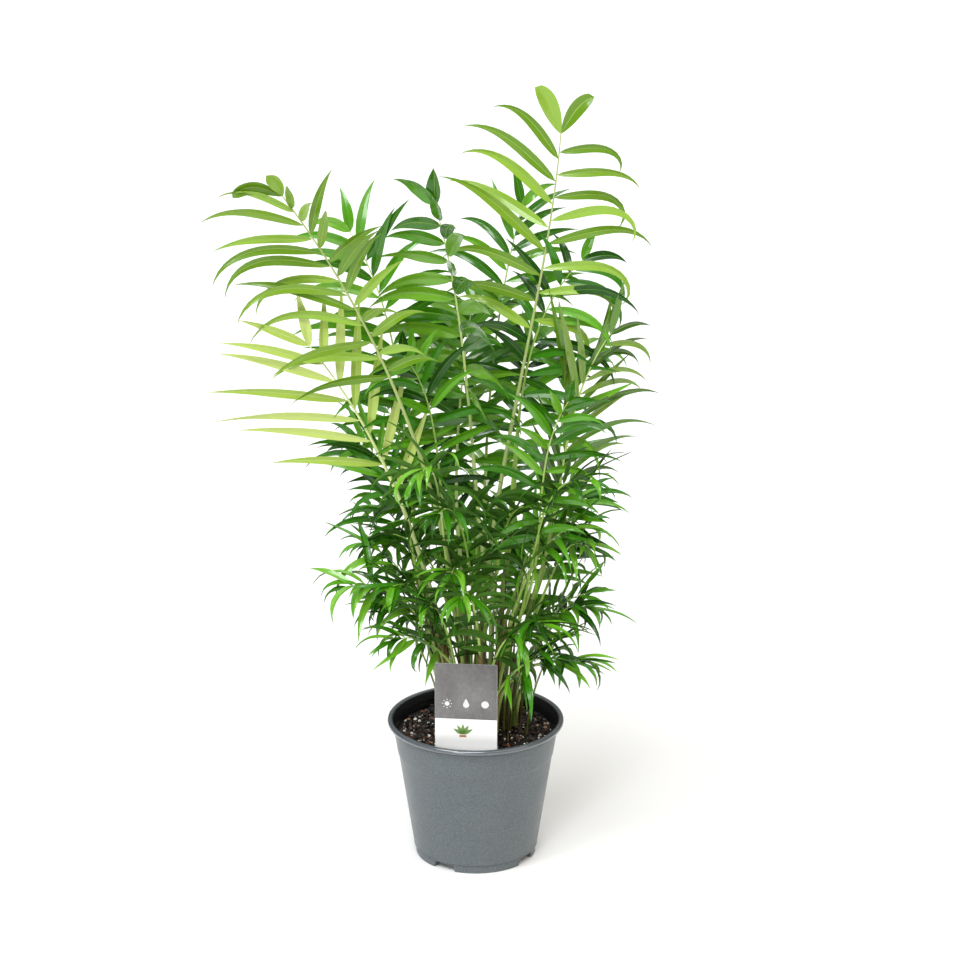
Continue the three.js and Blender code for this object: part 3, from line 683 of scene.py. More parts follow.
def table(rows, **shared):
    # rows of values in the order of columns; settings that only some rows have end the row
    width = len(columns)
    return [{**habit, **shared, **dict(zip(columns, row)), **(row[width:] or ({},))[0]} for row in rows]


crownFronds = table([
    (0, 1, 46, 93, 384, 84, 44, 0.52, 8, [118, 106], [10.5, 9], [85, 125], "fresh",
     {"late": 3.2, "tipWidth": 1.6, "tipLength": 0.45, "sweep": [64, 74], "fan": [30, 12], "lift": 0,
      "wild": 0.7}),
    (1, 1, 184, 156, 388, 54, -107, 0.52, 12, [122, 76], 9.5, [62, 55], "fresh",
     {"late": 2.2, "tipWidth": 1.4, "tipLength": 0.42, "shrink": 0.12, "sweep": [50, 66],
      "fan": [32, 20], "lift": 17}),
    (2, 1, 190, 116, 262, 53, -90, [0.5, 0.36], 6, [144, 116], [9, 10], [16, 6], "pale",
     {"shrink": 0.2, "sweep": [48, 37], "fan": [25, 12], "lift": 0, "wild": 0.3}),
    (0, 0.88, 144, 62, 348, 70, -86, 0.4, 11, [96, 84], 15, [52, 75], "bright",
     {"shrink": 0.3, "sweep": [70, 66], "fan": [14, 34], "lift": 34, "wild": 0.6}),
    (4, 1, 20, 72, 239, 50, 90, 0.3, 12, [112, 90], [8, 6.5], [10, 70], "olive",
     {"shrink": [0.4, 0.1], "sweep": [18, 46], "fan": [4, 16], "lift": 0}),
    (5, 1, 28, 80, 262, 35, 60, 0.44, 9, [70, 92], 9, [60, 80], "deep", {"lift": 8}),
    (7, 1, 49, 56, 360, 66, 30, 0.46, 12, 86, 9, 70, "mid", {"sweep": 62, "lift": 12}),
    (9, 1, 160, 80, 370, 55, -62, 0.46, 11, 88, 10, 70, "mid", {"sweep": 58, "lift": 12}),
    (6, 1, 78, 62, 236, 46, 10, 0.4, 11, 82, 10.5, 75, "bright"),
    (3, 0.9, 330, 62, 235, 55, 120, 0.4, 10, 74, 9, 60, "mid"),
    (6, 0.86, 215, 66, 235, 50, -112, 0.38, 10, 76, 9, 60, "deep"),
    (7, 0.8, 114, 78, 255, 40, -24, 0.4, 9, 72, 8.5, 60, "deep"),
    (5, 0.8, 70, 88, 215, 30, 18, 0.4, 9, 68, 8.5, 60, "deep"),
    (9, 0.78, 130, 84, 215, 25, -36, 0.4, 9, 66, 8, 60, "deep"),
], wild=1)

outerFronds = table([
    (1, 0.8, 244, 81, 167, -35, 0, 0.5, 8, 68, 8, 78, "mid"),
    (8, 1, 252, 58, 78, -30, 0, 0.4, 8, 62, 7.5, 78, "mid"),
    (8, 0.55, 312, 53, 68, -35, 0, 0.4, 7, 56, 7.5, 78, "mid"),
    (4, 0.72, 340, 62, 84, -35, 0, 0.4, 8, 62, 7.5, 68, "mid"),
    (5, 0.58, 357, 78, 122, 24, 60, 0.5, 8, 70, 7, 63, "deep", {"sweep": 50}),
    (3, 1, 356, 66, 92, 5, 10, 0.42, 8, 60, 7, 73, "mid"),
    (3, 0.62, 300, 74, 62, -10, 0, 0.35, 9, 60, 7, 63, "deep"),
    (4, 0.42, 8, 70, 58, -15, 0, 0.35, 9, 60, 7, 68, "deep"),
    (3, 0.34, 345, 82, 42, -12, 0, 0.35, 9, 62, 7, 63, "mid"),
    (2, 0.66, 192, 92, 66, -25, -15, 0.5, 7, 62, 8.5, 68, "mid"),
    (2, 0.88, 170, 74, 170, 25, -66, 0.5, 9, 76, 7, 48, "deep", {"sweep": 42}),
    (1, 0.4, 205, 74, 50, -20, -10, 0.35, 9, 60, 7.5, 83, "mid"),
    (9, 0.5, 190, 56, 66, -5, 0, 0.35, 8, 60, 7.5, 78, "deep"),
    (1, 0.62, 262, 62, 96, -20, 0, 0.4, 8, 62, 7.5, 78, "mid"),
    (0, 0.62, 310, 70, 130, 0, 0, 0.4, 9, 64, 7.5, 72, "deep"),
    (8, 0.28, 334, 76, 74, -5, 0, 0.38, 9, 60, 7.5, 72, "deep"),
])

# the other fronds fill the clump by rule: nodes on each cane, turned away from the clump's middle
filling = {
    "nodes": [[0.4], [0.2], [0.36, 0.22], [0.74], [0.22, 0.9], [0.36, 0.22], [0.62, 0.4, 0.25],
              [0.61, 0.37, 0.21], [], [0.58, 0.29]],
    "turns": [0, 62, -62], "astray": 30, "roll": 60, "middle": (6, 0), "firstHeading": 235,
    # least value, share of the node's height above the soil, range of the chance on top
    "rise": (45, 1, 70), "nod": (-25, 0.1, 50), "leaf": (57, 0.14, 8), "width": (7.2, 0, 1),
    "reach": (32, 0.22, 26),               # the same, with a share of the rise
    "tones": ["mid", "deep", "deep"], "seed": 2,
}


def grown(key, base, draw):
    least, share, spread = filling[key]
    return least + share * base + spread * draw


def fillingFronds():
    rows = []
    for cane, nodes in enumerate(filling["nodes"]):
        x, y, _, _, height, _ = canes["feet"][cane]
        away = math.degrees(math.atan2(y - filling["middle"][1], x - filling["middle"][0]))
        outward = filling["firstHeading"] if cane == 0 else away
        for k, node in enumerate(nodes):
            r = [float(chance(cane * 7 + k * 3 + filling["seed"], j)) for j in range(8)]
            above = height * node
            rise = grown("rise", above, r[2])
            heading = outward + filling["turns"][k] + filling["astray"] * (r[1] - 0.5)
            rows.append({
                **habit, "cane": cane, "node": node, "rise": rise, "heading": heading,
                "reach": grown("reach", rise, r[3]), "nod": grown("nod", above, r[4]),
                "roll": filling["roll"] * (r[5] - 0.5), "leaf": grown("leaf", above, r[6]),
                "width": grown("width", above, r[6]), "tone": filling["tones"][int(r[7] * 3)]})
    return rows


# the outer and filling fronds have more and slimmer leaflets, which lie a little more loosely
finer = {"pairs": 1.18, "width": 0.9, "wild": 1.2}


def dressed(row):
    return {**row, "pairs": round(row["pairs"] * finer["pairs"]), "width": row["width"] * finer["width"],
            "wild": row["wild"] * finer["wild"]}


fronds = crownFronds + [dressed(row) for row in outerFronds + fillingFronds()]


def bothSides(value):
    # left and right value of a setting that may be one number
    return value if isinstance(value, list) else [value, value]


def sided(value, hand):
    left, right = bothSides(value)
    return np.where(hand > 0, left, right)


stalks = {
    "rows": 30, "crowd": 1.1, "sides": 8, "taper": 0.78, "girth": 1.05, "tilt": 0.3,
    # how far below the node the stalk's foot clasps the cane, how far out it lies, how thick it is
    "hug": [34, 26, 18, 11, 5], "hugOut": (0.35, 0.9), "hugGirth": (1.0, 1.15),
    "flare": 0.15, "flareFade": 40, "sunk": 2,
}


def stalkRadius(frond, t):
    # fronds with longer leaflets have thicker stalks
    return (1 + bothSides(frond["leaf"])[0] / 100) * (1 - stalks["taper"] * np.asarray(t, float))


class StalkCurve:
    # One Bezier curve. It leaves the cane's tip in line with it, or a node on the cane's side just
    # clear of the bark, and ends at the frond's tip with the slope nod.
    def __init__(self, frond):
        cane, node = frond["cane"], frond["node"]
        out = towards(frond["heading"])
        up = caneSlope(cane, node)
        root = canePoint(cane, node)
        start, leave = root + up * canes["clearance"], up
        if node < 1:
            side = unit(out - up * dot(out, up))
            start = root + side * (caneRadius(cane, node) + canes["clearance"] + stalkRadius(frond, 0))
            leave = unit(up + stalks["tilt"] * side)
        tip = root + out * frond["reach"] + zUp * frond["rise"]
        nod = math.radians(frond["nod"])
        arrive = out * math.cos(nod) + zUp * math.sin(nod)
        handle = np.linalg.norm(tip - start) / 3
        self.marks = [start, start + leave * handle, tip - arrive * handle, tip]
        self.root = root

    def point(self, t):
        t = np.asarray(t, float)[..., None]
        a, b, c, d = self.marks
        return a * (1 - t) ** 3 + 3 * b * t * (1 - t) ** 2 + 3 * c * t * t * (1 - t) + d * t ** 3

    def slope(self, t):
        t = np.asarray(t, float)[..., None]
        a, b, c, d = self.marks
        return unit(3 * (b - a) * (1 - t) ** 2 + 6 * (c - b) * t * (1 - t) + 3 * (d - c) * t * t)


spray = {
    # shares of the room between two pairs: right leaflets stand past left ones, and where they start
    "stagger": 0.3, "first": 0.1,
    # places of the last full pair and of the end pair, a power that crowds the pairs towards the
    # tip, the end pair's angle, and where the fan neither opens nor closes the leaflets
    "until": 0.96, "last": 0.985, "crowd": 0.92, "lastAngle": 26, "evenAt": 0.35,
    # length of a leaflet: least, more by a sine, share of the sine that is used and its start
    "least": 0.72, "more": 0.5, "arc": 0.86, "start": 0.12,
    # how much of the shortening is taken from the width too
    "narrowing": 0.25,
}


def leafletRows(frond, number):
    # Where each leaflet springs from the rib, where it points, and its size. They stand left and
    # right by turns, longest a little past the middle of the blade, and close up towards the tip,
    # where a shorter, broader pair ends the frond.
    curve = StalkCurve(frond)
    pairs = frond["pairs"]
    k = np.arange(2 * pairs + 2)
    last = k >= 2 * pairs
    hand = np.where(k % 2 == 0, 1.0, -1.0)
    s = np.where(last, 1.0, (k // 2 + spray["stagger"] * (k % 2) + spray["first"]) / pairs)
    bare = sided(frond["bare"], hand)
    t = bare + (1 - bare) * np.where(last, spray["last"], spray["until"] * s ** spray["crowd"])
    along = curve.slope(t)
    level = towards(frond["heading"] + 90)
    flat = unit(level - along * dot(along, level))
    above = np.cross(along, flat)
    roll = math.radians(frond["roll"])
    side = flat * math.cos(roll) + above * math.sin(roll)
    face = above * math.cos(roll) - flat * math.sin(roll)

    def unlike(kind, seed, step):
        return frond["wild"] * scatter[kind] * (chance(number + seed, k + step) - 0.5)

    arc = np.sin(math.pi * np.minimum(1, s * spray["arc"] + spray["start"]))
    size = (spray["least"] + spray["more"] * arc) / (spray["least"] + spray["more"])
    size = size * (1 + unlike("length", 1, 1)) * (1 - sided(frond["shrink"], hand) * s ** 3)
    size = np.where(last, frond["tipLength"], size)
    spread = sided(frond["sweep"], hand) + sided(frond["fan"], hand) * (spray["evenAt"] - s)
    spread = np.where(last, spray["lastAngle"], spread + unlike("sweep", 51, 7))
    angle = np.radians(spread)[:, None]
    lift = np.radians(sided(frond["lift"], hand) + unlike("lift", 91, 3))[:, None]
    heading = unit(along * np.cos(angle) + side * hand[:, None] * np.cos(lift) * np.sin(angle)
                   + face * np.sin(lift) * np.sin(angle))
    slim = 1 - spray["narrowing"] + spray["narrowing"] * size
    return {
        "base": curve.point(t), "heading": heading, "face": face, "last": last, "k": k,
        "tipWidth": frond["tipWidth"],
        "length": sided(frond["leaf"], hand) * size,
        "width": sided(frond["width"], hand) * np.where(last, frond["tipWidth"], slim),
        "bend": np.radians(sided(frond["droop"], hand) * (1 + unlike("bend", 11, 5))),
        "sway": unlike("sway", 71, 13), "late": sided(frond["late"], hand)[:, None],
    }


blades = {
    "crownRows": 15, "rows": 10, "crownCount": 7,     # the first fronds have more rows of corners
    # the midrib: steps from row to row, and the share of its bend that an upright leaflet keeps
    "between": 4, "steady": 0.35, "swayPower": 1.6,
    # half width: where it is widest, power of the way along, power of what is left
    "slim": (0.36, 0.7, 1.25), "broad": (0.63, 0.85, 0.5), "broadFrom": 1.1,
    # the cut across, in half widths but for thick
    "thick": 0.55, "fold": 0.3, "foldRange": (0.6, 0.9), "bulge": 0.05, "quarter": 0.53, "rib": 0.055,
    "twist": 0.75, "twistPower": 1.4, "wave": 0.06, "waves": 15,
}


def midribs(leaf, rows):
    # A midrib bends down: its slope falls with a power of the way along, the more the more level it
    # starts, and it sways a little to one side. The blade keeps its turn about the midrib. Gives
    # the points and the directions across and under at rows evenly spaced stations.
    steps = (rows - 1) * blades["between"]
    levelXY = leaf["heading"] * np.array([1, 1, 0])
    slope = np.arctan2(leaf["heading"][:, 2], np.linalg.norm(levelXY, axis=1))[:, None]
    level = unit(levelXY)[:, None]
    steady = blades["steady"]
    turn = leaf["bend"][:, None] * (steady + (1 - steady) * np.cos(slope))
    cross = np.cross(zUp, level)
    blade = unit(np.cross(leaf["face"], leaf["heading"]))[:, None]
    upright = -level * np.sin(slope)[..., None] + zUp * np.cos(slope)[..., None]
    flatShare, steepShare = dot(blade, cross), dot(blade, upright)

    def course(u):
        # the level direction with its sway, and the slope, at a share u of the way along
        away = (leaf["sway"][:, None] * u ** blades["swayPower"])[..., None]
        return level * np.cos(away) + cross * np.sin(away), (slope - turn * u ** leaf["late"])[..., None]

    def ahead(flat, dip):
        return flat * np.cos(dip) + zUp * np.sin(dip)

    stride = ahead(*course((np.arange(steps) + 0.5) / steps)) * (leaf["length"] / steps)[:, None, None]
    points = np.concatenate([0 * stride[:, :1], np.cumsum(stride, 1)], 1) + leaf["base"][:, None]
    flat, dip = course(np.linspace(0, 1, rows))
    across = np.cross(zUp, flat) * flatShare + (zUp * np.cos(dip) - flat * np.sin(dip)) * steepShare
    return points[:, ::blades["between"]], unit(across), np.cross(across, ahead(flat, dip))


def outline(u, peak, rising, falling):
    return (u / peak) ** rising * ((1 - u) / (1 - peak)) ** falling


def bladeBodies(leaf, rows, number):
    # A leaflet is a closed thin body. Its half width goes with a power of the way along times a
    # power of what is left. The cut across is a shallow V with rounded halves over a keel and a
    # flat rib between them, turned by a twist that grows towards the tip, and the margins wave.
    points, across, under = midribs(leaf, rows)
    count = len(leaf["k"])
    u = np.linspace(0, 1, rows)[None, 1:-1]
    wide = (leaf["last"] & (leaf["tipWidth"] > blades["broadFrom"]))[:, None]
    half = np.where(wide, outline(u, *blades["broad"]), outline(u, *blades["slim"]))
    half = leaf["width"][:, None] / 2 * half
    draw = chance(number + 61, leaf["k"] * 3 + 1)[:, None]
    twist = blades["twist"] * (draw - 0.5) * 2 * u ** blades["twistPower"]
    a, n = across[:, 1:-1], -under[:, 1:-1]
    c, s = np.cos(twist)[..., None], np.sin(twist)[..., None]
    a, n = a * c + n * s, n * c - a * s
    wave = blades["wave"] * np.sin(u * blades["waves"] + 20 * draw)
    least, more = blades["foldRange"]
    fold = blades["fold"] * (least + more * chance(number + 23, leaf["k"] + 9))[:, None]
    rib, quarter = blades["rib"], blades["quarter"]
    ribHeight, quarterHeight = rib * fold, quarter * fold + blades["bulge"]
    cut = [(1, fold + wave), (quarter, quarterHeight), (rib, ribHeight), (-rib, ribHeight),
           (-quarter, quarterHeight), (-1, fold - wave)]
    middle = points[:, 1:-1]
    ring = [middle + a * (v * half)[..., None] + n * (h * half)[..., None] for v, h in cut]
    ring.append(middle - n * blades["thick"])
    body, quads, ends = loft(np.stack(ring, 2), points[:, 0], points[:, -1])
    # the blade's map: across from 0 to 1, up from 0 to 1, and each leaflet beside the one before
    v = np.array([v for v, _ in cut] + [0]) * 0.5 + 0.5
    grid = np.stack(np.broadcast_arrays(v[None, None], u[..., None]), -1)
    grid = np.broadcast_to(grid, (count, rows - 2, len(v), 2)).reshape(count, -1, 2)
    low, high = (np.broadcast_to([0.5, end], (count, 1, 2)) for end in (0.0, 1.0))
    shift = np.array([3.0, 0]) * (number * 40 + leaf["k"])[:, None, None] / 7
    return body, quads, ends, (np.concatenate([low, grid, high], 1) + shift).reshape(-1, 2)


keepOut = {"margin": 2, "wallFrom": 74, "soilTo": 80, "behind": 4, "slant": 0.34}


def clearOfPot(leaf):
    # true for leaflets that stay out of the pot's wall and the soil and off the label's face
    points = midribs(leaf, 12)[0]
    reach, z, margin = np.hypot(points[..., 0], points[..., 1]), points[..., 2], keepOut["margin"]
    inWall = (z < pot["height"] + margin) & (reach > keepOut["wallFrom"])
    inWall &= reach < pot["rimRadius"] + margin
    inSoil = (z < soil["top"] + margin) & (reach < keepOut["soilTo"])
    turn = math.radians(label["turn"])
    dx, dy = points[..., 0] - label["x"], points[..., 1] - label["y"]
    x = dx * math.cos(turn) + dy * math.sin(turn)
    y = -dx * math.sin(turn) + dy * math.cos(turn)
    inLabel = (np.abs(x) < label["width"] / 2 + margin) & (y < keepOut["behind"])
    inLabel &= z + keepOut["slant"] * np.minimum(y, 0) < label["top"] + margin
    return ~(inWall | inSoil | inLabel).any(1)


# the greens of each tone: three shades of the upper side, dealt out leaflet by leaflet, the weight
# of the waxy coat on it, the under side, the leaflet's rib and the stalk
greens = {
    "fresh": {"slot": "frond_fresh", "upper": ["#739a24", "#618a17", "#89b037"], "gloss": 0.45,
              "under": "#78993a", "rib": "#90b04a", "stalk": "#a0b26a"},
    "pale": {"slot": "frond_pale", "upper": ["#a8c256", "#98b646", "#bace6e"], "gloss": 0.4,
             "under": "#a4ba62", "rib": "#bcd080", "stalk": "#ccda92"},
    "bright": {"slot": "frond_mid", "upper": ["#4a8a0e", "#346f08", "#6aa322"], "gloss": 0.7,
               "under": "#48761a", "rib": "#74a038", "stalk": "#bcd080"},
    "olive": {"slot": "frond_mid", "upper": ["#527f17", "#386008", "#729432"], "gloss": 0.7,
              "under": "#5e7c28", "rib": "#7c9640", "stalk": "#b0cc6c"},
    "mid": {"slot": "frond_mid", "upper": ["#529a12", "#357608", "#70b028"], "gloss": 0.8,
            "under": "#3e6a16", "rib": "#62982c", "stalk": "#b2d06c"},
    # the deep tone is partly the lower leaves' own dark green and partly painted shade for the shaded
    # inside of the clump, above all its darkest upper shade
    "deep": {"slot": "frond_deep", "upper": ["#357a09", "#1b4a04", "#5ea217"], "gloss": 0.36,
             "under": "#30580d", "rib": "#4c8622", "stalk": "#9cc054"},
}


def leafFinish(name, colour, roughness, gloss=0.0):
    # a plain base colour with fine lengthwise veins in relief
    finish = Finish(name, colour, roughness, Specular_IOR_Level=0.2, Coat_Weight=gloss,
                    Coat_Roughness=0.13, Coat_IOR=1.62)
    veins = finish.noise(1.0, 3, stretch=(16, 1.3, 1), output="UV")
    return finish.bump(veins, 0.5, 0.0006).material


def makeLeaves():
    for tone, colours in greens.items():
        finishes = [leafFinish(f"{tone}Leaf{i + 1}", colour, 0.26, colours["gloss"])
                    for i, colour in enumerate(colours["upper"])]
        finishes += [leafFinish(f"{tone}LeafBack", colours["under"], 0.5),
                     leafFinish(f"{tone}LeafRib", colours["rib"], 0.4)]
        back, rib = len(finishes) - 2, len(finishes) - 1
        nodes, parts, placed = [], [], 0
        for number, frond in enumerate(fronds):
            if frond["tone"] != tone:
                continue
            nodes.append(f"frond_{number + 1:02d}")
            leaf = leafletRows(frond, number)
            keep = clearOfPot(leaf)
            leaf = {key: value[keep] if isinstance(value, np.ndarray) else value
                    for key, value in leaf.items()}
            rows = blades["crownRows"] if number < blades["crownCount"] else blades["rows"]
            body, quads, ends, across = bladeBodies(leaf, rows, number)
            shade = np.floor(chance(number + 31, leaf["k"] + 2) * back).astype(int)
            # of the seven sides of a blade, the third is the rib and the last two are its back
            slots = loftSlots(len(shade), rows - 2, 7, lambda b, r, k: np.where(
                k == 2, rib, np.where(k < 5, shade[b], back)) + 0 * r)
            parts.append((body, quads + placed, ends + placed, across,
                          slots[:len(quads)], slots[len(quads):]))
            placed += len(body)
        points, quads, ends, across, quadSlots, endSlots = map(np.concatenate, zip(*parts))
        piece = putPiece(f"{tone}Leaflets", points, [quads, ends], finishes,
                         np.concatenate([quadSlots, endSlots]), across, creaseAngle=32)
        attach(piece, "root")
        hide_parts(*nodes)
        print(tone, "leaflets grown:", len(nodes), "fronds,", placed, "points")


def stalkRings(frond):
    # A stalk is a round tube along its curve. Below its node it runs on down the cane, half sunk
    # in it, and swells there into a clasping base.
    curve = StalkCurve(frond)
    t = np.linspace(0, 1, stalks["rows"]) ** stalks["crowd"]
    cane, node = frond["cane"], frond["node"]
    below = node - np.array(stalks["hug"]) / canes["feet"][cane][4]
    sunk = canePoint(cane, below)
    if node < 1:
        side = unit(curve.marks[0] - curve.root)
        near = np.linspace(*stalks["hugOut"], len(below))[:, None]
        sunk = sunk + side * near * (caneRadius(cane, node) + stalkRadius(frond, 0))
    thick = stalkRadius(frond, 0) * np.linspace(*stalks["hugGirth"], len(below))
    radius = stalkRadius(frond, t) * stalks["girth"]
    radius = np.concatenate([thick, radius * (1 + stalks["flare"] * np.exp(-t * stalks["flareFade"]))])
    middle = np.concatenate([sunk, curve.point(t)])
    along = np.concatenate([caneSlope(cane, below), curve.slope(t)])
    hoop = hoops(along, towards(frond["heading"] + 90), evenTurns(stalks["sides"]))
    rings = middle[:, None] + hoop * radius[:, None, None]
    return rings, middle[0] - along[0] * stalks["sunk"], middle[-1] + along[-1] * radius[-1]


def makeStalks():
    for tone, colours in greens.items():
        members = [(f"frond_{i + 1:02d}", f) for i, f in enumerate(fronds) if f["tone"] == tone]
        nodes, members = zip(*members)
        points, quads, ends = loft(*map(np.array, zip(*map(stalkRings, members))))
        finish = Finish(f"{tone}Stalk", colours["stalk"], 0.42, Specular_IOR_Level=0.5)
        finish.bump(finish.noise(300, 2, stretch=(1, 1, 0.1)), 0.15, 0.0004)
        piece = putPiece(f"{tone}Stalks", points, [quads, ends], [finish.material], creaseAngle=70)
        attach(piece, "root")
        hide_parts(*nodes)


def makeCanes():
    # Each cane is a tapering tube along its leaning line. Its radius swells in a narrow ring at
    # every scar, and in a long collar below every node that carries a frond.
    t = np.linspace(0, 1, canes["rows"])
    turn = evenTurns(canes["sides"])
    rings, heads, names = [], [], []
    (deepDent, dents), (fineDent, fineDents) = canes["dents"]
    for cane, (_, _, heading, _, height, _) in enumerate(canes["feet"]):
        up = t * height
        first = canes["firstScar"] + canes["scarScatter"] * chance(cane, 4)
        scars = np.arange(first, height, canes["scarSpacing"])
        scars = scars + canes["scarScatter"] * (chance(cane, np.arange(len(scars)) + 9) - 0.5)
        swell = canes["scarSwell"] * np.exp(-((up[:, None] - scars) / canes["scarWidth"]) ** 2).sum(1)
        plain = canes["slim"] * caneRadius(cane, t)
        radius = plain * (1 + swell)
        for frond in fronds:
            if frond["cane"] == cane and frond["node"] < 1:
                below = frond["node"] * height - up
                collar = np.clip(below / canes["collarTop"], 0, 1)
                collar *= np.clip((canes["collarLength"] - below) / canes["collarFoot"], 0, 1)
                radius = np.maximum(radius, plain + canes["collarSwell"] * collar)
        middle, along = canePoint(cane, t), caneSlope(cane, t)
        relief = 1 + deepDent * np.sin(dents * turn + cane)[None]
        relief = relief + fineDent * np.sin(fineDents * turn + up[:, None] / canes["dentClimb"])
        hoop = hoops(along, towards(heading + 90), turn)
        ring = middle[:, None] + hoop * (radius[:, None] * relief)[..., None]
        ring[0] -= zUp * canes["sunk"]
        rings.append(ring)
        heads.append(middle[-1] + along[-1] * 0.6 * radius[-1])
        names.append(f"cane_{cane + 1:02d}")
    rings = np.array(rings)
    points, quads, ends = loft(rings, rings[:, 0].mean(1), np.array(heads))
    bark = Finish("greenCane", "#8b9a4c", 0.4, Specular_IOR_Level=0.5)
    streak = bark.streaks(330, 3, 0.06)
    patch = bark.noise(28, 3, stretch=(1, 1, 0.5))
    green = bark.ramp(streak, (0.32, "#4f7e24"), (0.5, "#8db046"), (0.66, "#c6d484"))
    darkBySoil = bark.ramp(streak, (0.32, "#2c3a16"), (0.5, "#5e6c2e"), (0.66, "#959c58"))
    brown = bark.ramp(streak, (0.3, "#382614"), (0.7, "#86703f"))
    # the canes are darker by the soil and lighter above
    wood = bark.mix(bark.span(bark.upward(), 0.17, 0.4), darkBySoil, green)
    bark.feed("Base Color", bark.mix(bark.span(patch, 0.52, 0.66, 0, 0.8), wood, brown))
    bark.bump(streak, 0.4, 0.0006)
    piece = putPiece("ringedCanes", points, [quads, ends], [bark.material], creaseAngle=60)
    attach(piece, "root")
    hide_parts(*names)


sheaths = {
    "perCane": 7, "wrap": 120, "thick": 0.5, "gap": 0.35, "flare": 2.6, "first": -2, "step": 13,
    "length": 26, "lengths": (0.7, 0.8), "turn": 150, "astray": 200, "tipWidth": 0.12,
    "rows": 12, "corners": 7, "green": 0.45,
    # name, colour, roughness, specular, colours of the streaks
    "looks": [
        ("drySheath", "#8a7444", 0.6, 0.35, [(0.3, "#3c2a16"), (0.5, "#6e5a32"), (0.7, "#a8965e")]),
        ("greenSheath", "#8a9a4c", 0.5, 0.4, [(0.3, "#4e6226"), (0.5, "#7a8c3e"), (0.7, "#b0b86e")])],
}


def makeSheaths():
    # Old leaf bases round the canes: each is a thin strip of a tube, closed all round, whose arc
    # narrows to a point at its top, where it stands away from the cane.
    u = np.linspace(0, 1, sheaths["rows"])
    arc = np.linspace(-1, 1, sheaths["corners"])
    tip, (least, more) = sheaths["tipWidth"], sheaths["lengths"]
    rings = []
    for cane, (_, _, _, _, height, _) in enumerate(canes["feet"]):
        for k in range(sheaths["perCane"]):
            draw = chance(cane * 9 + k, np.arange(4) + 2)
            foot = sheaths["first"] + sheaths["step"] * (k + 0.5 * draw[0])
            t = (foot + sheaths["length"] * (least + more * draw[1]) * u) / height
            middle, along = canePoint(cane, t), caneSlope(cane, t)
            front = math.radians(sheaths["turn"] * k + sheaths["astray"] * draw[2])
            half = math.radians(sheaths["wrap"]) * (tip + (1 - tip) * np.clip(1 - u ** 1.5, 0, 1) ** 0.7)
            hoop = hoops(along, [0, 1.0, 0], front + arc[None] * half[:, None])
            inner = caneRadius(cane, t) * 1.06 + sheaths["gap"] + sheaths["flare"] * draw[3] * u ** 3
            outside, inside = (middle[:, None] + hoop * (inner + skin)[:, None, None]
                               for skin in (sheaths["thick"], 0))
            rings.append(np.concatenate([outside, inside[:, ::-1]], 1))
    rings = np.array(rings)
    points, quads, ends = loft(rings, rings[:, 0].mean(1), rings[:, -1].mean(1))
    finishes = []
    for name, colour, roughness, specular, stops in sheaths["looks"]:
        finish = Finish(name, colour, roughness, Specular_IOR_Level=specular)
        streak = finish.streaks(160, 4, 0.12)
        finishes.append(finish.colour(streak, *stops).bump(streak, 0.5, 0.0005).material)
    slots = loftSlots(*rings.shape[:3], lambda b, r, k: (
        chance(b, 77) > 1 - sheaths["green"]) + 0 * (r + k))
    piece = putPiece("caneSheaths", points, [quads, ends], finishes, slots, creaseAngle=50)
    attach(piece, "root")


shoots = {
    "rows": 30, "sides": 8, "taper": 0.45, "sunk": 6, "point": 3,
    "spindleFrom": 0.72, "spindleSwell": 0.7, "spindleTaper": 0.75,
    "ringFrom": 40, "ringSpread": 30, "ringWidth": 1.2, "ringSwell": 0.16,     # one leaf scar each
    # foot x and y, heading and size of the lean, height, girth at the foot
    "feet": np.array([
        [30, -4, 12, 40, 150, 3.4], [32, -9, 4, 62, 140, 3], [27, -9, 355, 22, 176, 3],
        [-2, -22, 200, 10, 178, 2.8], [-16, -25, 215, 20, 142, 2.6], [-20, -8, 168, 14, 190, 3],
        [12, -26, 290, 8, 150, 2.6], [-34, 12, 165, 26, 160, 2.8], [2, 3, 95, 10, 214, 3],
        [14, 7, 60, 16, 192, 3], [-14, 6, 130, 18, 182, 2.6], [27, 31, 30, 24, 170, 2.8],
        [-8, 41, 110, 26, 150, 2.8], [49, -16, 345, 30, 110, 2.4], [-31, -17, 190, 34, 122, 2.4]]),
    # least value and range of a stump's lean, height and girth
    "stumps": {"count": 34, "x": 8, "y": 8, "spread": 44, "turn": 137.5,
               "lean": (4, 18), "height": (70, 90), "girth": (1.5, 1.1)},
}


def stumpFeet():
    # old bare stalks in a sunflower pattern round the middle of the clump, thinner and lower
    # than the shoots, in rows like those of the shoots
    row = shoots["stumps"]
    k = np.arange(row["count"])
    heading = row["turn"] * k
    away = towards(heading) * (row["spread"] * np.sqrt((k + 0.5) / row["count"]))[:, None]
    sizes = [row[key][0] + row[key][1] * chance(k, 61 + i)
             for i, key in enumerate(("lean", "height", "girth"))]
    return np.stack([row["x"] + away[:, 0], row["y"] + away[:, 1], heading, *sizes], -1)


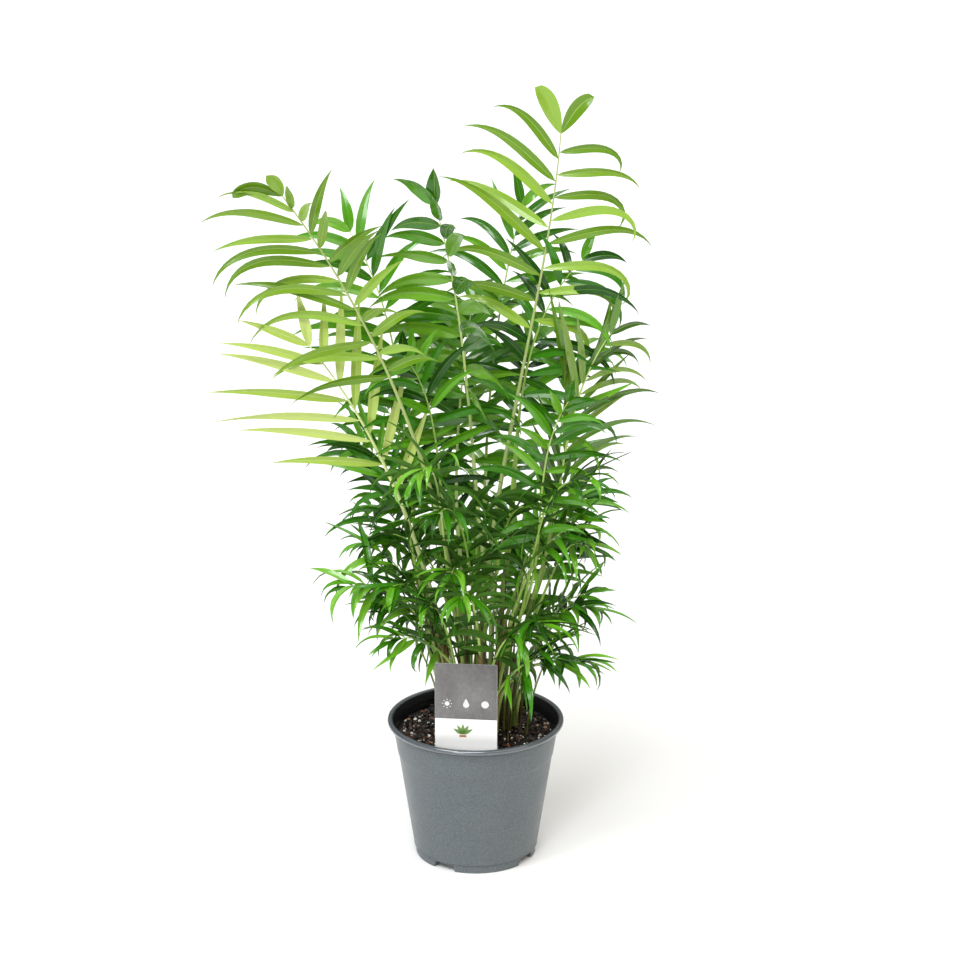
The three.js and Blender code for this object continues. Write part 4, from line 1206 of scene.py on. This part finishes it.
def makeShoots():
    # Young shoots between the canes: slender round stems that lean out with the square of their
    # height and end in an unopened leaf, a narrow spindle.
    feet = np.concatenate([shoots["feet"], stumpFeet()])
    x, y, heading, lean, height, girth = feet.T[:, :, None]
    u = np.linspace(0, 1, shoots["rows"])[None]
    foot = np.stack([x, y, soilHeight(x, y) - shoots["sunk"]], -1)
    out = towards(heading)
    middle = foot + out * (lean * u ** 2)[..., None] + zUp * (height * u)[..., None]
    along = unit(out * (2 * lean * u)[..., None] + zUp * height[..., None])
    spindle = np.clip((u - shoots["spindleFrom"]) / (1 - shoots["spindleFrom"]), 0, 1)
    swell = 1 + shoots["spindleSwell"] * np.sin(spindle * math.pi)
    swell = swell - shoots["spindleTaper"] * spindle ** 3
    scar = shoots["ringFrom"] + shoots["ringSpread"] * chance(x, 3)
    ring = np.exp(-((u * height - scar) / shoots["ringWidth"]) ** 2)
    radius = girth / 2 * (1 - shoots["taper"] * u) * swell * (1 + shoots["ringSwell"] * ring)
    hoop = hoops(along, towards(heading + 90), evenTurns(shoots["sides"]))
    ring = middle[:, :, None] + hoop * radius[..., None, None]
    points, quads, ends = loft(ring, middle[:, 0], middle[:, -1] + along[:, -1] * shoots["point"])
    skin = Finish("greenShoot", "#9ab84e", 0.35, Specular_IOR_Level=0.5)
    streak = skin.streaks(400, 3, 0.05)
    green = skin.ramp(streak, (0.34, "#5c8c28"), (0.5, "#98b64c"), (0.66, "#c8d488"))
    darkBySoil = skin.ramp(streak, (0.34, "#2e2612"), (0.5, "#5a6428"), (0.66, "#8c9450"))
    skin.feed("Base Color", skin.mix(skin.span(skin.upward(), 0.13, 0.26), darkBySoil, green))
    dry = Finish("dryStump", "#5a4a28", 0.6, Specular_IOR_Level=0.3)
    line = dry.streaks(300, 3, 0.06)
    dry.colour(line, (0.34, "#241a0c"), (0.5, "#4c4020"), (0.68, "#8a7c4a"))
    young = len(shoots["feet"])
    slots = loftSlots(*ring.shape[:3], lambda b, r, k: (b >= young) & (r + k >= 0))
    piece = putPiece("youngShoots", points, [quads, ends], [skin.material, dry.material], slots,
                     creaseAngle=70)
    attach(piece, "root")


makeCanes()
makeShoots()
makeSheaths()
makeStalks()
print("canes and stalks grown")
makeLeaves()
